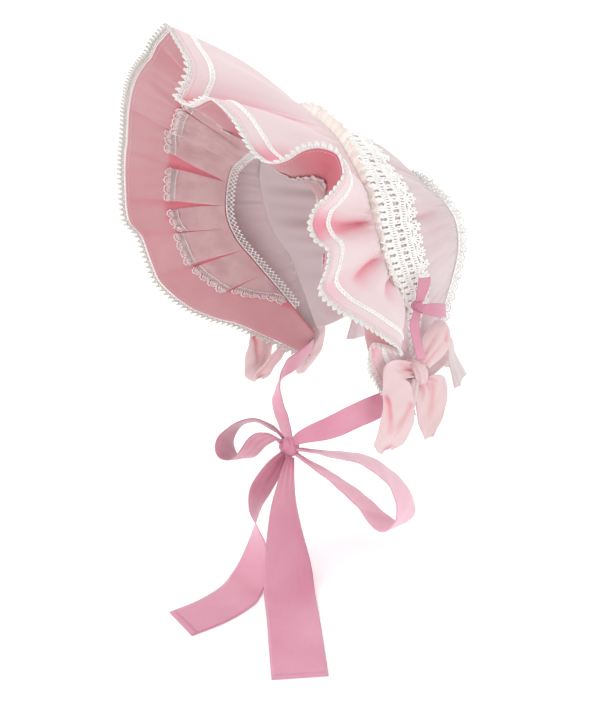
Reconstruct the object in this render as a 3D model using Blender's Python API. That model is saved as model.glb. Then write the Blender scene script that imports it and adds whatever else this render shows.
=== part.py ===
"""Lace-trimmed bonnet as it is worn: ruffled brim, gathered crown, side bows and a satin bow under the chin.

The wearer faces -Y, the wearer's left is +X and +Z is up. The origin is the middle of the head.
Sizes are in millimetres and angles in degrees; every point is turned into metres when a mesh is made.
"""
from collections import namedtuple
from math import cos, exp, pi, radians, sin

import bmesh
import bpy
import numpy as np

# Driving sizes
AXIS_HEIGHT = 60.0          # height of the axis that the brim and crown are swept about
WALL = 1.2                  # brim, lining and crown cloth
TRIM_WALL = 1.0             # lace, braid and ribbons
LINING_GAP = 0.45           # space between brim and lining where they meet at the rim
EDGE_LACE_WIDTH = 8.0
BRAID_WIDTH = 4.5
BRAID_INSET = 17.0          # from the rim to the middle of the braid
KNOT_GAP = 0.25             # space between a ribbon knot and the strips drawn up to it
BOW_KNOT_GAP = 0.5         # the same for the thick cloth bows

COLOURS = {
    "cloth_pink": ((0.90, 0.70, 0.75), 0.75),
    "cloth_pale": ((0.80, 0.69, 0.73), 0.8),
    "cloth_rose": ((0.70, 0.35, 0.41), 0.8),
    "lace_white": ((0.93, 0.92, 0.90), 0.9),
    "lace_cream": ((0.93, 0.83, 0.74), 0.9),
    "satin_pink": ((0.80, 0.42, 0.56), 0.35),
    "bow_pink": ((0.90, 0.66, 0.71), 0.7),
}

Edge = namedtuple("Edge", "angle radius depth")
Rim = namedtuple("Rim", "seam angle radius depth")
Fold = namedtuple("Fold", "angle width height reach")       # reach is the share of the brim that it runs over
Section = namedtuple("Section", "x y z ax ay az width")     # middle of a strip, way across it, its width

# Angles run from the top of the head; the depth is measured back from the middle of the head.
SEAM = [Edge(0, 90, -19), Edge(40, 91, -19), Edge(70, 95, -14), Edge(90, 94, -7), Edge(105, 98, 2),
        Edge(120, 107, 20), Edge(135, 120, 29), Edge(150, 145, 40)]
HAIRLINE = [Edge(0, 66, -58), Edge(25, 67, -58), Edge(45, 73, -54), Edge(65, 85, -52), Edge(90, 90, -50),
            Edge(105, 93, -42), Edge(120, 101, -22), Edge(135, 115, 2), Edge(150, 139, 31)]
BACK_SEAM = [Edge(0, 32, 85), Edge(48, 36.5, 87), Edge(74, 49, 91), Edge(90, 56, 95), Edge(112, 63, 97),
             Edge(130, 76, 92), Edge(140, 92, 84), Edge(150, 116, 76)]

# One row for each crest, hollow and flank of the ruffle on the wearer's left.
RIM_LEFT = [
    Rim(0, 0, 165, -139), Rim(7, 7.4, 155, -141), Rim(13, 14, 147, -141), Rim(16, 16.6, 139, -142),
    Rim(18.5, 17.2, 129, -146), Rim(21, 18.2, 121, -150), Rim(25, 23, 120, -147), Rim(32, 31, 136, -138),
    Rim(39, 38.5, 135, -130), Rim(45, 45, 131, -125), Rim(50, 51, 126, -118), Rim(54, 55.5, 128, -110),
    Rim(57, 56.8, 140, -102), Rim(59.5, 56.6, 150, -97), Rim(62, 57.5, 161, -89), Rim(65, 61, 167, -77),
    Rim(69, 66, 164, -75), Rim(72.5, 70, 149, -80), Rim(75, 73, 136, -86), Rim(78.5, 78, 128, -87),
    Rim(82, 82.5, 129, -84), Rim(86, 86, 136, -78), Rim(90, 91, 142, -83), Rim(95, 96.5, 146, -90),
    Rim(101, 101.7, 153, -79), Rim(106, 106, 161, -59), Rim(110.5, 110.5, 165.5, -40),
    Rim(115, 114.5, 166, -25), Rim(118.5, 117.2, 163, -20), Rim(122, 119.5, 150, -24),
    Rim(126, 123, 140, -27), Rim(131, 130.5, 145, -23), Rim(136, 135.8, 151, -14), Rim(141, 140, 156, -5),
    Rim(150, 150, 172, 36)]
RIM_RIGHT = [
    Rim(0, 0, 165, -139), Rim(9, 9, 154, -140), Rim(19, 18, 145, -139), Rim(29, 29, 144, -137),
    Rim(41, 41, 145, -133), Rim(53, 53.4, 149.5, -126), Rim(66, 66.5, 152.6, -120),
    Rim(73, 73, 157, -118), Rim(85, 85.8, 165.4, -113), Rim(95, 95.7, 170, -109),
    Rim(101.5, 101.4, 171, -97), Rim(108, 108.4, 174, -91), Rim(115, 115.4, 177, -84),
    Rim(120, 120.3, 176, -74), Rim(125, 124.8, 176, -61), Rim(130, 130, 172, -42), Rim(135, 135, 165, -22),
    Rim(142, 142, 166, 5), Rim(150, 150, 172, 36)]

# Deep gathers that run out from the seam into the ruffle, with the crests between them.
FOLDS = [Fold(80, 5, -8, 0.75), Fold(90, 5, 3, 0.6), Fold(98.5, 4, -6, 0.65), Fold(104, 3.5, 2, 0.5),
         Fold(109, 3.5, -5, 0.5), Fold(121, 7, 3, 0.6)]


def through(rows, column, key, at):
    """Read one column of a table at a key value along smooth, overshoot-free curves."""
    x = np.array([getattr(row, key) for row in rows], float)
    y = np.array([getattr(row, column) for row in rows], float)
    step = np.diff(x)
    rise = np.diff(y) / step
    slope = np.zeros(len(x))
    for k in range(1, len(x) - 1):
        if rise[k - 1] * rise[k] > 0:
            w1, w2 = 2 * step[k] + step[k - 1], step[k] + 2 * step[k - 1]
            slope[k] = (w1 + w2) / (w1 / rise[k - 1] + w2 / rise[k])
    slope[-1] = rise[-1]
    at = min(max(at, x[0]), x[-1])
    k = min(int(np.searchsorted(x, at, side="right")) - 1, len(x) - 2)
    s = (at - x[k]) / step[k]
    return ((1 + 2 * s) * (1 - s) ** 2 * y[k] + s * (1 - s) ** 2 * step[k] * slope[k]
            + s * s * (3 - 2 * s) * y[k + 1] + s * s * (s - 1) * step[k] * slope[k + 1])


def turned(angle, radius, depth):
    """Point at an angle from the top, on the side that the sign of the angle gives."""
    return np.array([radius * sin(radians(angle)), depth, AXIS_HEIGHT + radius * cos(radians(angle))])


def edge(rows, angle):
    """Angle, radius and depth of an edge table at a signed angle."""
    size = abs(angle)
    return (angle, through(rows, "radius", "angle", size), through(rows, "depth", "angle", size))


def rim(angle):
    """Angle, radius and depth of the rim that belongs to a signed angle of the seam."""
    rows = RIM_LEFT if angle >= 0 else RIM_RIGHT
    size, side = abs(angle), 1 if angle >= 0 else -1
    return (side * through(rows, "angle", "seam", size), through(rows, "radius", "seam", size),
            through(rows, "depth", "seam", size))


def blend(start, end, share):
    return tuple(a + (b - a) * share for a, b in zip(start, end))


def unit(vector):
    return vector / max(np.linalg.norm(vector), 1e-9)


class Cloth:
    """A grid of points on a cloth, with the normals that layers above it are lifted along."""

    def __init__(self, points):
        self.points = np.asarray(points, float)
        across = np.gradient(self.points, axis=0)
        along = np.gradient(self.points, axis=1)
        normals = np.cross(across, along)
        self.normals = normals / np.maximum(np.linalg.norm(normals, axis=2, keepdims=True), 1e-9)

    def at(self, column, row, lift=0.0):
        """Point on the flat facets at a fractional column and row, lifted off the cloth."""
        last_c, last_r = self.points.shape[0] - 1, self.points.shape[1] - 1
        c, r = min(int(column), last_c - 1), min(int(row), last_r - 1)
        u, v = column - c, row - r
        weights = ((c, r, (1 - u) * (1 - v)), (c + 1, r, u * (1 - v)),
                   (c, r + 1, (1 - u) * v), (c + 1, r + 1, u * v))
        point = sum(w * self.points[i, j] for i, j, w in weights)
        normal = unit(sum(w * self.normals[i, j] for i, j, w in weights))
        return point + lift * normal


def material(name):
    found = bpy.data.materials.get(name)
    if found:
        return found
    colour, roughness = COLOURS[name]
    made = bpy.data.materials.new(name)
    made.use_nodes = True
    shader = made.node_tree.nodes["Principled BSDF"]
    shader.inputs["Base Color"].default_value = (*colour, 1.0)
    shader.inputs["Roughness"].default_value = roughness
    return made


def wall(name, grid, thickness, slot, closed=False, omit=lambda c, r: False):
    """Thicken a grid of points into a closed cloth wall; omitted faces become holes cut through it."""
    grid = np.asarray(grid, float)
    columns, rows = grid.shape[:2]
    mesh = bmesh.new()
    verts = [[mesh.verts.new(grid[c, r] * 0.001) for r in range(rows)] for c in range(columns)]
    for c in range(columns if closed else columns - 1):
        for r in range(rows - 1):
            if not omit(c, r):
                d = (c + 1) % columns
                mesh.faces.new((verts[c][r], verts[d][r], verts[d][r + 1], verts[c][r + 1]))
    for vert in [v for v in mesh.verts if not v.link_faces]:
        mesh.verts.remove(vert)
    return finish(name, mesh, slot, thickness)


def finish(name, mesh, slot, thickness=None):
    data = bpy.data.meshes.new(name)
    mesh.to_mesh(data)
    mesh.free()
    piece = bpy.data.objects.new(name, data)
    bpy.context.scene.collection.objects.link(piece)
    data.materials.append(material(slot))
    for face in data.polygons:
        face.use_smooth = True
    if thickness:
        skin = piece.modifiers.new("thickness", "SOLIDIFY")
        skin.thickness = thickness * 0.001
        skin.offset = 0.0
    return piece


# Columns are closer on the wearer's left, where the ruffle is.
LEFT_STEPS, RIGHT_STEPS, END_ANGLE = 54, 24, 150.0
COLUMNS = ([-END_ANGLE + END_ANGLE * k / RIGHT_STEPS for k in range(RIGHT_STEPS)]
           + [END_ANGLE * k / LEFT_STEPS for k in range(LEFT_STEPS + 1)])
BRIM_ROWS = (0.0, 0.3, 0.6, 0.83, 1.0)
LINING_ROWS = (0.0, 0.35, 0.7, 1.0)


def folded(angle, t):
    """Height of the deep gathers at a seam angle and a share of the way to the rim."""
    return sum(fold.height * exp(-((angle - fold.angle) / fold.width) ** 2) * sin(pi * (t / fold.reach) ** 0.7)
               for fold in FOLDS if t < fold.reach)


def brim_cloth():
    """Outer cloth from the seam to the rim; the ruffle grows from nothing at the seam."""
    grid = []
    for angle in COLUMNS:
        start, end = edge(SEAM, angle), rim(angle)
        column = []
        for t in BRIM_ROWS:
            a, r, y = blend(start, end, t)
            a = start[0] + (end[0] - start[0]) * t ** 1.5
            swell = 10.5 * sin(pi * t ** 0.9) * max(0.15, 1 - abs(angle + 8) / 60)
            column.append(turned(a, r + swell + folded(angle, t), y))
        grid.append(column)
    return Cloth(grid)


def lining_cloth():
    """Inner cloth from the hairline to the rim, with shallow pleats across it."""
    grid = []
    for angle in COLUMNS:
        start, end = edge(HAIRLINE, angle), rim(angle)
        column = []
        for t in LINING_ROWS:
            a, r, y = blend(start, end, t)
            a = start[0] + (end[0] - start[0]) * t ** 1.5
            pleat = 2.0 * sin(radians(angle) * 12) * sin(pi * t)
            column.append(turned(a, r + pleat, y - 3.0 * sin(pi * t)))
        grid.append(column)
    return Cloth(grid)


def lifted(cloth, lift):
    return cloth.points + lift * cloth.normals


def build_brim():
    outer, inner = brim_cloth(), lining_cloth()
    # both cloths share the rim, and are moved apart there along the normal of the outer one
    apart = outer.normals[:, -1:, :] * (WALL + LINING_GAP) / 2
    outer, inner = Cloth(outer.points - apart), Cloth(inner.points + apart)
    wall("brim", outer.points, WALL, "cloth_pink")
    wall("brim_lining", inner.points, WALL, "cloth_rose")
    build_edge_lace(outer, inner)
    build_braid(outer)
    build_lining_frill(inner)
    build_hairline_lace(inner)


def picot_columns():
    """Fractional brim columns for the picots: two to a column where columns are wide."""
    steps = []
    for c in range(len(COLUMNS) - 1):
        steps += [c, c + 0.5]
    return steps + [len(COLUMNS) - 1]


def build_edge_lace(outer, inner):
    rows = []
    last = len(BRIM_ROWS) - 1
    for k, c in enumerate(picot_columns()):
        a, b = outer.at(c, last), inner.at(c, len(LINING_ROWS) - 1)
        middle = (a + b) / 2
        back = (outer.at(c, last - 1) + inner.at(c, len(LINING_ROWS) - 2)) / 2
        way = unit(middle - back)
        width = EDGE_LACE_WIDTH if k % 2 else EDGE_LACE_WIDTH * 0.55
        rows.append([middle + way * 1.4, middle + way * (1.4 + width)])
    wall("brim_edge_lace", rows, TRIM_WALL, "lace_white")


def row_at(cloth, column, distance):
    """Fractional row at a distance in from the rim along one column."""
    row, left = cloth.points.shape[1] - 1, distance
    while row > 0:
        a, b = cloth.at(column, row), cloth.at(column, row - 1)
        length = np.linalg.norm(b - a)
        if left <= length:
            return row - left / length
        left -= length
        row -= 1
    return 0.0


def build_braid(outer):
    lift = -(WALL / 2 + TRIM_WALL / 2 + 0.8)
    rows = []
    for c in range(2, len(COLUMNS) - 5):
        near = row_at(outer, c, BRAID_INSET - BRAID_WIDTH / 2)
        far = row_at(outer, c, BRAID_INSET + BRAID_WIDTH / 2)
        rows.append([outer.at(c, near, lift), outer.at(c, far, lift)])
    wall("brim_braid", rows, TRIM_WALL, "lace_white")


def build_lining_frill(inner):
    """Tulle lace frill: its inner edge is sewn down, its rim edge stands off in scallops."""
    rows = []
    for c in range(4, len(COLUMNS) - 14):
        near = row_at(inner, c, 38 + (4 if c % 2 else 0))
        far = row_at(inner, c, 56)
        clear = 1.3 * max(0.0, 1 - abs(COLUMNS[c] - 73) / 12)       # over the tightest fold
        rows.append([inner.at(c, far, 1.7 + clear), inner.at(c, near, 4.5 + clear + 1.5 * sin(c * 1.3))])
    wall("lining_frill", rows, TRIM_WALL, "lace_white")


def build_hairline_lace(inner):
    rows = []
    for c in range(4, len(COLUMNS) - 9, 2):
        base = inner.at(c, 0)
        way = unit(base - inner.at(c, 1))
        rows.append([base + way * 1.1, base + way * (8.0 if c % 4 else 6.5)])
    wall("hairline_lace", rows, TRIM_WALL, "lace_white")


CROWN_STEPS = 40
CROWN_ROWS = (0.0, 0.14, 0.34, 0.58, 0.82, 1.0)


def crown_cloth():
    """Band of the crown from just behind the seam to the back panel, with a few soft folds."""
    grid = []
    for k in range(CROWN_STEPS + 1):
        angle = -148.0 + 296.0 * k / CROWN_STEPS
        start, end = edge(SEAM, angle), edge(BACK_SEAM, angle)
        column = []
        for s in CROWN_ROWS:
            a, r, y = blend(start, end, s)
            puff = 10.0 + 4.0 * sin(radians(min(abs(angle), 120)) * 1.5)
            r = r - 2.4 * (1 - s) + puff * sin(pi * s ** 1.1) * (1 - 0.6 * abs(angle) / 150)
            r += 2.2 * sin(radians(angle) * 7) * sin(pi * s) * min(1.0, abs(angle) / 50)
            column.append(turned(a, r, y - 3.0 * (1 - s)))
        grid.append(column)
    return Cloth(grid)


def build_crown():
    crown = crown_cloth()
    wall("crown_side", crown.points, WALL, "cloth_pale")
    build_crown_back(crown)
    build_crown_lace(crown)
    build_seam_frill(crown)
    return crown


def nape_point(share):
    """Point of the nape edge, from the wearer's left (share 0) round the neck to the right (share 1)."""
    end = turned(148, *edge(BACK_SEAM, 148)[1:])
    return np.array([end[0] * (1 - 2 * share), end[1] + 16.0 * sin(pi * share), end[2] - 4.0 * sin(pi * share)])


def build_crown_back(crown):
    """Horseshoe panel: rings shrink from the seam and the nape edge to the middle of the back."""
    corners = (5, CROWN_STEPS - 5)                                      # where the horseshoe turns down
    ring = [crown.points[c, -1] for c in range(CROWN_STEPS + 1) if c % 2 == 0 or c in corners]
    ring += [nape_point(k / 8) for k in range(1, 8)]
    middle = np.array([0.0, 92.0, 42.0])
    mesh = bmesh.new()
    loops = []
    for q in (1.0, 0.72, 0.4):
        loop = []
        for point in ring:
            p = middle + (point - middle) * q
            p[1] += 1.15 + 15.0 * (1 - q * q)
            loop.append(mesh.verts.new(p * 0.001))
        loops.append(loop)
    tip = mesh.verts.new((middle + np.array([0, 17.5, 0])) * 0.001)
    count = len(ring)
    for k in range(count):
        n = (k + 1) % count
        for a, b in zip(loops, loops[1:]):
            mesh.faces.new((a[k], a[n], b[n], b[k]))
        mesh.faces.new((loops[-1][k], loops[-1][n], tip))
    bmesh.ops.recalc_face_normals(mesh, faces=mesh.faces)
    finish("crown_back", mesh, "cloth_pale", WALL)
    rows = []
    for c in range(CROWN_STEPS + 1):
        base = crown.points[c, -1]
        out = unit(base - np.array([0.0, base[1], AXIS_HEIGHT - 15]))
        way = unit(out * 0.5 + np.array([0, 0.85, 0]))
        wave = 1.8 * (1 if c % 2 else -1)
        rows.append([base + np.array([0, 2.85, 0]) + out * 0.6,
                     base + way * (6.0 + (1.5 if c % 2 else 0)) + np.array([0, 3.2, 0]) + out * wave * 0.6])
    wall("crown_back_frill", rows, TRIM_WALL, "lace_white")


LACE_STEPS = 50


def build_crown_lace(crown):
    """Crochet lace behind the seam: two rows of eyelets and a scalloped rear edge."""
    lift = WALL / 2 + TRIM_WALL / 2 + 1.2
    rows = []
    for k in range(LACE_STEPS + 1):
        share = k / LACE_STEPS
        column = (0.015 + 0.97 * share) * CROWN_STEPS
        taper = min(1.0, 3.2 * min(share, 1 - share) + 0.35)
        scallop = 1.0 + (0.10 if k % 2 else -0.04)
        width = 2.2 * taper
        rows.append([crown.at(column, 0.55 + width * q * (scallop if q == 1.0 else 1.0), lift)
                     for q in (0.0, 0.16, 0.38, 0.56, 0.8, 1.0)])
    wall("crown_lace", rows, TRIM_WALL, "lace_white", omit=lambda c, r: r in (1, 3) and c % 2 == 1)


def build_seam_frill(crown):
    """Cream frill, gathered tight into the seam and fanned out above it."""
    rows = []
    steps = 56
    for k in range(steps + 1):
        column = (0.07 + 0.86 * k / steps) * CROWN_STEPS
        base = crown.at(column, 0.42)
        out = crown.at(column, 0.42, 1.0) - base
        low = max(0.0, (abs(2 * k / steps - 1) - 0.28) / 0.72) ** 0.7       # tall only over the top of the head
        wave = 2.6 * (1.0 - 0.5 * low) * (1 if k % 2 else -1)
        top = out * (15.0 * (1.0 - 0.7 * low) + 1.5 * sin(k * 0.9)) + np.array([0.0, 1.5 - 1.5 * low + wave, 0.0])
        rows.append([base + out * 1.9, base + out * 1.9 + top])
    wall("seam_frill", rows, TRIM_WALL, "lace_cream")


def build_nape_curtain():
    """Short curtain: it puffs out below the nape edge, then flares to a wavy hem."""
    rows = []
    for k in range(29):
        share = k / 28
        top = nape_point(share) + np.array([0, 0, -1.4])
        out = np.array([cos(pi * share), 0.9 * sin(pi * share), 0])
        wave = 4.0 * sin(share * 2 * pi * 6)
        rows.append([top, top + out * (14.0 + 0.3 * wave) + np.array([0, 0, -9.0]),
                     top + out * (17.0 + 0.5 * wave) + np.array([0, 0, -24.0]),
                     top + out * (25.0 + wave) + np.array([0, 0, -48.0])])
    wall("nape_curtain", rows, WALL, "cloth_pale")


# Strips: each row is one section, in order along the strip.
CHIN_LOOP_FRONT = [
    Section(3, -50, -129, -0.60, 0.55, -0.58, 14), Section(0, -55, -126, -0.55, 0.67, -0.51, 32),
    Section(-5, -64, -130, -0.55, 0.66, -0.51, 43), Section(-8, -73, -140, -0.62, 0.61, -0.50, 43),
    Section(-12, -82, -146, -0.72, 0.61, -0.33, 43), Section(-16, -89, -142, -0.66, 0.71, -0.24, 43),
    Section(-20, -90, -132, -0.62, 0.74, -0.25, 43), Section(-24, -80, -122, -0.64, 0.73, -0.24, 42),
    Section(-24, -60, -118, -0.70, 0.58, -0.42, 38), Section(-11, -46, -124, -0.60, 0.55, -0.58, 22),
    Section(-1, -42, -129, -0.60, 0.55, -0.58, 12)]
CHIN_LOOP_BACK = [
    Section(21, -35, -136, -0.78, 0.55, -0.20, 11), Section(39, -17, -137, -0.72, 0.65, -0.22, 32),
    Section(57, 6, -141, -0.72, 0.65, -0.18, 43), Section(73, 24, -156, -0.66, 0.71, -0.23, 44),
    Section(83, 31, -173, -0.56, 0.78, -0.28, 45), Section(87, 30, -188, -0.53, 0.81, -0.25, 45),
    Section(85, 20, -197, -0.57, 0.80, -0.20, 45), Section(76, 11, -192, -0.63, 0.76, -0.16, 45),
    Section(63, 2, -178, -0.70, 0.69, -0.18, 42), Section(41, -18, -157, -0.76, 0.62, -0.15, 30),
    Section(21, -36, -144, -0.78, 0.58, -0.20, 11)]
TAIL_LONG = [
    Section(12, -51, -143, -0.30, 0.72, -0.60, 12), Section(14, -60, -151, -0.30, 0.75, -0.58, 26),
    Section(15, -73, -167, -0.36, 0.80, -0.46, 32), Section(20, -81, -181, -0.66, 0.68, -0.30, 38),
    Section(29, -86, -195, -0.84, 0.36, -0.42, 40), Section(37, -89, -208, -0.95, 0.06, -0.28, 40),
    Section(43, -96, -224, -0.99, -0.08, -0.08, 42), Section(50, -106, -233.5, -0.99, -0.12, 0.0, 45),
    Section(66, -124, -234.4, -0.98, -0.16, 0.0, 45), Section(80, -154, -234.4, -0.99, -0.08, 0.0, 45),
    Section(87, -186, -234.4, -1.00, 0.03, 0.0, 45)]
TAIL_SHORT = [
    Section(18, -45, -146, -0.50, 0.78, -0.30, 12), Section(24, -53, -158, -0.52, 0.82, -0.20, 30),
    Section(34, -61, -177, -0.42, 0.88, -0.20, 38), Section(50, -69, -199, -0.22, 0.96, -0.12, 42),
    Section(68, -76, -219, 0.10, 0.99, -0.06, 43), Section(88, -86, -231.5, 0.40, 0.91, 0.0, 43),
    Section(124, -103, -234.4, 0.50, 0.86, 0.0, 43), Section(168, -125, -234.4, 0.44, 0.90, 0.0, 43),
    Section(208, -145, -234.4, 0.38, 0.92, 0.0, 43)]
TIE = [
    Section(76.7, 33.5, -75, 0.47, 0.14, -0.88, 17), Section(73, 15, -86, 0.26, -0.18, -0.95, 22),
    Section(68, -4, -93, 0.30, -0.12, -0.94, 22), Section(49, -22, -108, 0.50, -0.13, -0.85, 20),
    Section(26, -36, -121, 0.53, -0.12, -0.84, 13), Section(19, -41, -126, 0.53, -0.12, -0.84, 8)]
SIDE_FRONT = [
    Section(100, 25, -49, 0.28, -0.09, -0.95, 9), Section(106, 11, -46, 0.25, 0.35, -0.90, 15),
    Section(109, 2, -47, 0.19, 0.76, -0.60, 21), Section(111, 3, -59, 0.09, 0.99, -0.14, 27),
    Section(114, 3, -76, 0.09, 0.99, -0.10, 32), Section(114, -1, -95, 0.11, 0.99, 0.02, 31),
    Section(112, -4, -112, 0.16, 0.98, 0.05, 22), Section(104, 4, -106, 0.18, 0.95, 0.25, 22),
    Section(100, 14, -86, 0.24, 0.96, 0.14, 21), Section(98, 25, -69, 0.26, 0.94, 0.22, 9)]
SIDE_UP = [
    Section(102, 37, -42, 0.34, 0.81, -0.49, 12), Section(100, 44, -35, 0.24, 0.83, -0.51, 23),
    Section(97, 52, -27, 0.24, 0.81, -0.54, 24), Section(92, 60, -20, 0.18, 0.80, -0.58, 18),
    Section(85, 61, -29, 0.22, 0.73, -0.64, 18), Section(86, 55, -39, 0.20, 0.80, -0.57, 17),
    Section(91, 46, -47, 0.22, 0.81, -0.55, 11)]
SIDE_TAIL = [
    Section(102, 33, -65, 0.08, 0.96, 0.28, 13), Section(105, 39, -71, 0.02, 0.99, 0.17, 29),
    Section(108, 40, -81, -0.04, 0.99, 0.17, 31), Section(111, 38, -95, -0.09, 0.98, 0.16, 24),
    Section(114, 34, -108, -0.13, 0.98, 0.17, 9)]
SMALL_UP = [
    Section(103, 24, 12, 0.26, 0.91, -0.32, 6), Section(101, 28, 20, 0.10, 0.99, -0.05, 11),
    Section(98, 31, 27, 0.09, 1.00, -0.02, 11), Section(95, 32, 22, 0.11, 0.99, -0.02, 10),
    Section(98, 27, 12, 0.19, 0.95, -0.23, 6)]
SMALL_REAR = [
    Section(104, 28, 2, 0.25, -0.15, -0.96, 8), Section(103, 40, 0, 0.25, -0.15, -0.96, 11),
    Section(97, 54, -4, 0.28, -0.11, -0.96, 11), Section(95, 44, -3, 0.25, -0.15, -0.96, 10),
    Section(98, 30, 0, 0.25, -0.15, -0.96, 7)]
SMALL_TAIL = [
    Section(105, 20, 0, 0.19, 0.95, -0.24, 6), Section(107, 16, -8, 0.09, 0.99, -0.11, 9),
    Section(107, 19, -24, 0.23, 0.90, -0.37, 9), Section(104, 26, -40, 0.06, 1.00, 0.04, 8)]


def smooth(rows, samples):
    """Sections along a strip, on a smooth curve through the rows."""
    table = np.array(rows, float)
    padded = np.vstack([2 * table[0] - table[1], table, 2 * table[-1] - table[-2]])
    out = []
    for k in range(len(table) - 1):
        p0, p1, p2, p3 = padded[k:k + 4]
        for j in range(samples):
            t = j / samples
            out.append(0.5 * (2 * p1 + (p2 - p0) * t + (2 * p0 - 5 * p1 + 4 * p2 - p3) * t ** 2
                              + (3 * p1 - p0 - 3 * p2 + p3) * t ** 3))
    out.append(table[-1])
    return out


def placed(rows, side=1, shift=(0, 0, 0), knot_at=None, ends=(), gap=KNOT_GAP):
    """Rows on one side of the bonnet, moved by a shift; the named ends are drawn up to a knot."""
    table = np.array(rows, float)
    table[:, (0, 3)] *= side
    table[:, :3] += np.array(shift)
    for end in ends:
        centre, size = knot_at
        way = unit(table[end, :3] - np.array(centre))
        reach = 1.0 / np.linalg.norm(way / np.array(size)) + gap
        table[end, :3] = np.array(centre) + way * reach
        table[end, 3:6] = unit(table[end, 3:6] - way * np.dot(way, table[end, 3:6]))
    return table


def ribbon(name, rows, slot, samples=2, side=1, cup=0.0):
    """Strip through the rows; `cup` hollows it across."""
    grid = []
    stations = smooth(rows, samples)
    for k, row in enumerate(stations):
        middle = row[:3]
        across = unit(row[3:6]) * row[6] / 2
        ahead = stations[min(k + 1, len(stations) - 1)][:3] - stations[max(k - 1, 0)][:3]
        normal = unit(np.cross(across, ahead)) * side
        section = [middle - across, middle + across]
        if cup:
            section.insert(1, middle + normal * cup)
        grid.append(section)
    wall(name, grid, TRIM_WALL, slot)


def knot(name, centre, size, slot):
    mesh = bmesh.new()
    bmesh.ops.create_uvsphere(mesh, u_segments=8, v_segments=6, radius=1.0)
    for vert in mesh.verts:
        vert.co = [(centre[k] + vert.co[k] * size[k]) * 0.001 for k in range(3)]
    finish(name, mesh, slot)


def build_side_bows():
    size = (12.0, 6.5, 10.0)
    for label, side, shift, swing in (("left", 1, (0, 0, 0), (7, -5, 3)), ("right", -1, (3.3, 6, -4), (-14.7, -4, 2))):
        centre = np.array([96.4 * side, 31.0, -54.0]) + np.array(shift)
        knot(f"side_bow_{label}_knot", centre, size, "bow_pink")
        front = np.array(shift) + np.array(swing)
        at, gap = (centre, size), BOW_KNOT_GAP
        ribbon(f"side_bow_{label}_front", placed(SIDE_FRONT, side, front, at, (0, -1), gap + 0.15), "bow_pink", 2, side, 3.0)
        ribbon(f"side_bow_{label}_up", placed(SIDE_UP, side, shift, at, (0, -1), gap), "bow_pink", 2, side, 2.5)
        ribbon(f"side_bow_{label}_tail", placed(SIDE_TAIL, side, shift, at, (0,), gap), "bow_pink", 2, side, 2.0)


def build_small_bows():
    size = (8.0, 4.0, 5.0)
    for label, side, out in (("left", 1, 101.9), ("right", -1, 104.4)):
        centre = np.array([out * side, 27.0, 4.0])
        knot(f"small_bow_{label}_knot", centre, size, "satin_pink")
        shift, at = (3 * side, 3, 0), (centre, size)
        ribbon(f"small_bow_{label}_up", placed(SMALL_UP, side, shift, at, (0, -1)), "satin_pink", 2)
        ribbon(f"small_bow_{label}_rear", placed(SMALL_REAR, side, shift, at, (0, -1)), "satin_pink", 2)
        ribbon(f"small_bow_{label}_tail", placed(SMALL_TAIL, side, shift, at, (0,)), "satin_pink", 2)


def build_ties():
    at = ((10.0, -42.0, -135.0), (11.0, 8.5, 9.0))
    knot("chin_knot", *at, "satin_pink")
    ribbon("tie_left", placed(TIE, knot_at=at, ends=(-1,)), "satin_pink")
    right = placed(TIE[:4] + [Section(24, -27, -128, 0.53, -0.12, -0.84, 18),
                              Section(-1, -34, -139, 0.40, -0.12, -0.9, 9)], -1, knot_at=at, ends=(-1,))
    ribbon("tie_right", right, "satin_pink")
    for name, rows, ends in (("chin_loop_front", CHIN_LOOP_FRONT, (0, -1)), ("chin_loop_back", CHIN_LOOP_BACK, (0, -1)),
                             ("chin_tail_long", TAIL_LONG, (0,)), ("chin_tail_short", TAIL_SHORT, (0,))):
        ribbon(name, placed(rows, knot_at=at, ends=ends), "satin_pink")


def main():
    for thing in list(bpy.data.objects):
        bpy.data.objects.remove(thing, do_unlink=True)
    build_brim()
    build_crown()
    build_nape_curtain()
    build_side_bows()
    build_small_bows()
    build_ties()


main()
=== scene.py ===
"""Looks of a lace-trimmed bonnet: cloth, satin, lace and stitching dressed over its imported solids.

The bonnet faces -Y, the wearer's left is +X and the origin is the middle of the hollow. Shapes are worked out
in millimetres, as in the part's source, and become metres when a mesh is made. Colours are linear.
"""
import logging
from collections.abc import Callable, Sequence
from dataclasses import dataclass, field, replace
from enum import Enum
from functools import wraps

import bmesh
import bpy
import numpy as np
from mathutils import Matrix

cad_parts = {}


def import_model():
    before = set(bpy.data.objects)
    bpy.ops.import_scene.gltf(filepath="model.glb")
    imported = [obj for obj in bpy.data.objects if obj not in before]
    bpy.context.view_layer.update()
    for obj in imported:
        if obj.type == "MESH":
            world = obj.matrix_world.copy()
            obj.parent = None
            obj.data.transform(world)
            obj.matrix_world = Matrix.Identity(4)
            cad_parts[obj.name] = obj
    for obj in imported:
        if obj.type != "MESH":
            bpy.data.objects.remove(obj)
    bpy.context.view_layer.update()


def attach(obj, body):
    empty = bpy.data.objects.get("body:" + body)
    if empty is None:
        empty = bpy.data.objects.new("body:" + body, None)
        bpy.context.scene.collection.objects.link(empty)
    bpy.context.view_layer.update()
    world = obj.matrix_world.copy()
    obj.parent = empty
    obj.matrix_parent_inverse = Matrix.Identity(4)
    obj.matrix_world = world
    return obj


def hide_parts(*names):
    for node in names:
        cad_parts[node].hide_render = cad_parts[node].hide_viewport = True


LOG = logging.getLogger("bonnet")
MM = 0.001
BODY = "root"
AXIS_HEIGHT = 60.0          # height of the axis that brim and crown are swept about
FLOOR_HEIGHT = -235.0       # the long ribbon ends lie on it
WALL = 1.2                  # cloth wall of the solids
TRIM_WALL = 1.0             # lace and ribbon wall of the solids
LINING_GAP = 0.45           # between the brim's two cloths at the rim
FAN = 1.5                   # how late the brim's cloth turns from its seam to the rim
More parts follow.
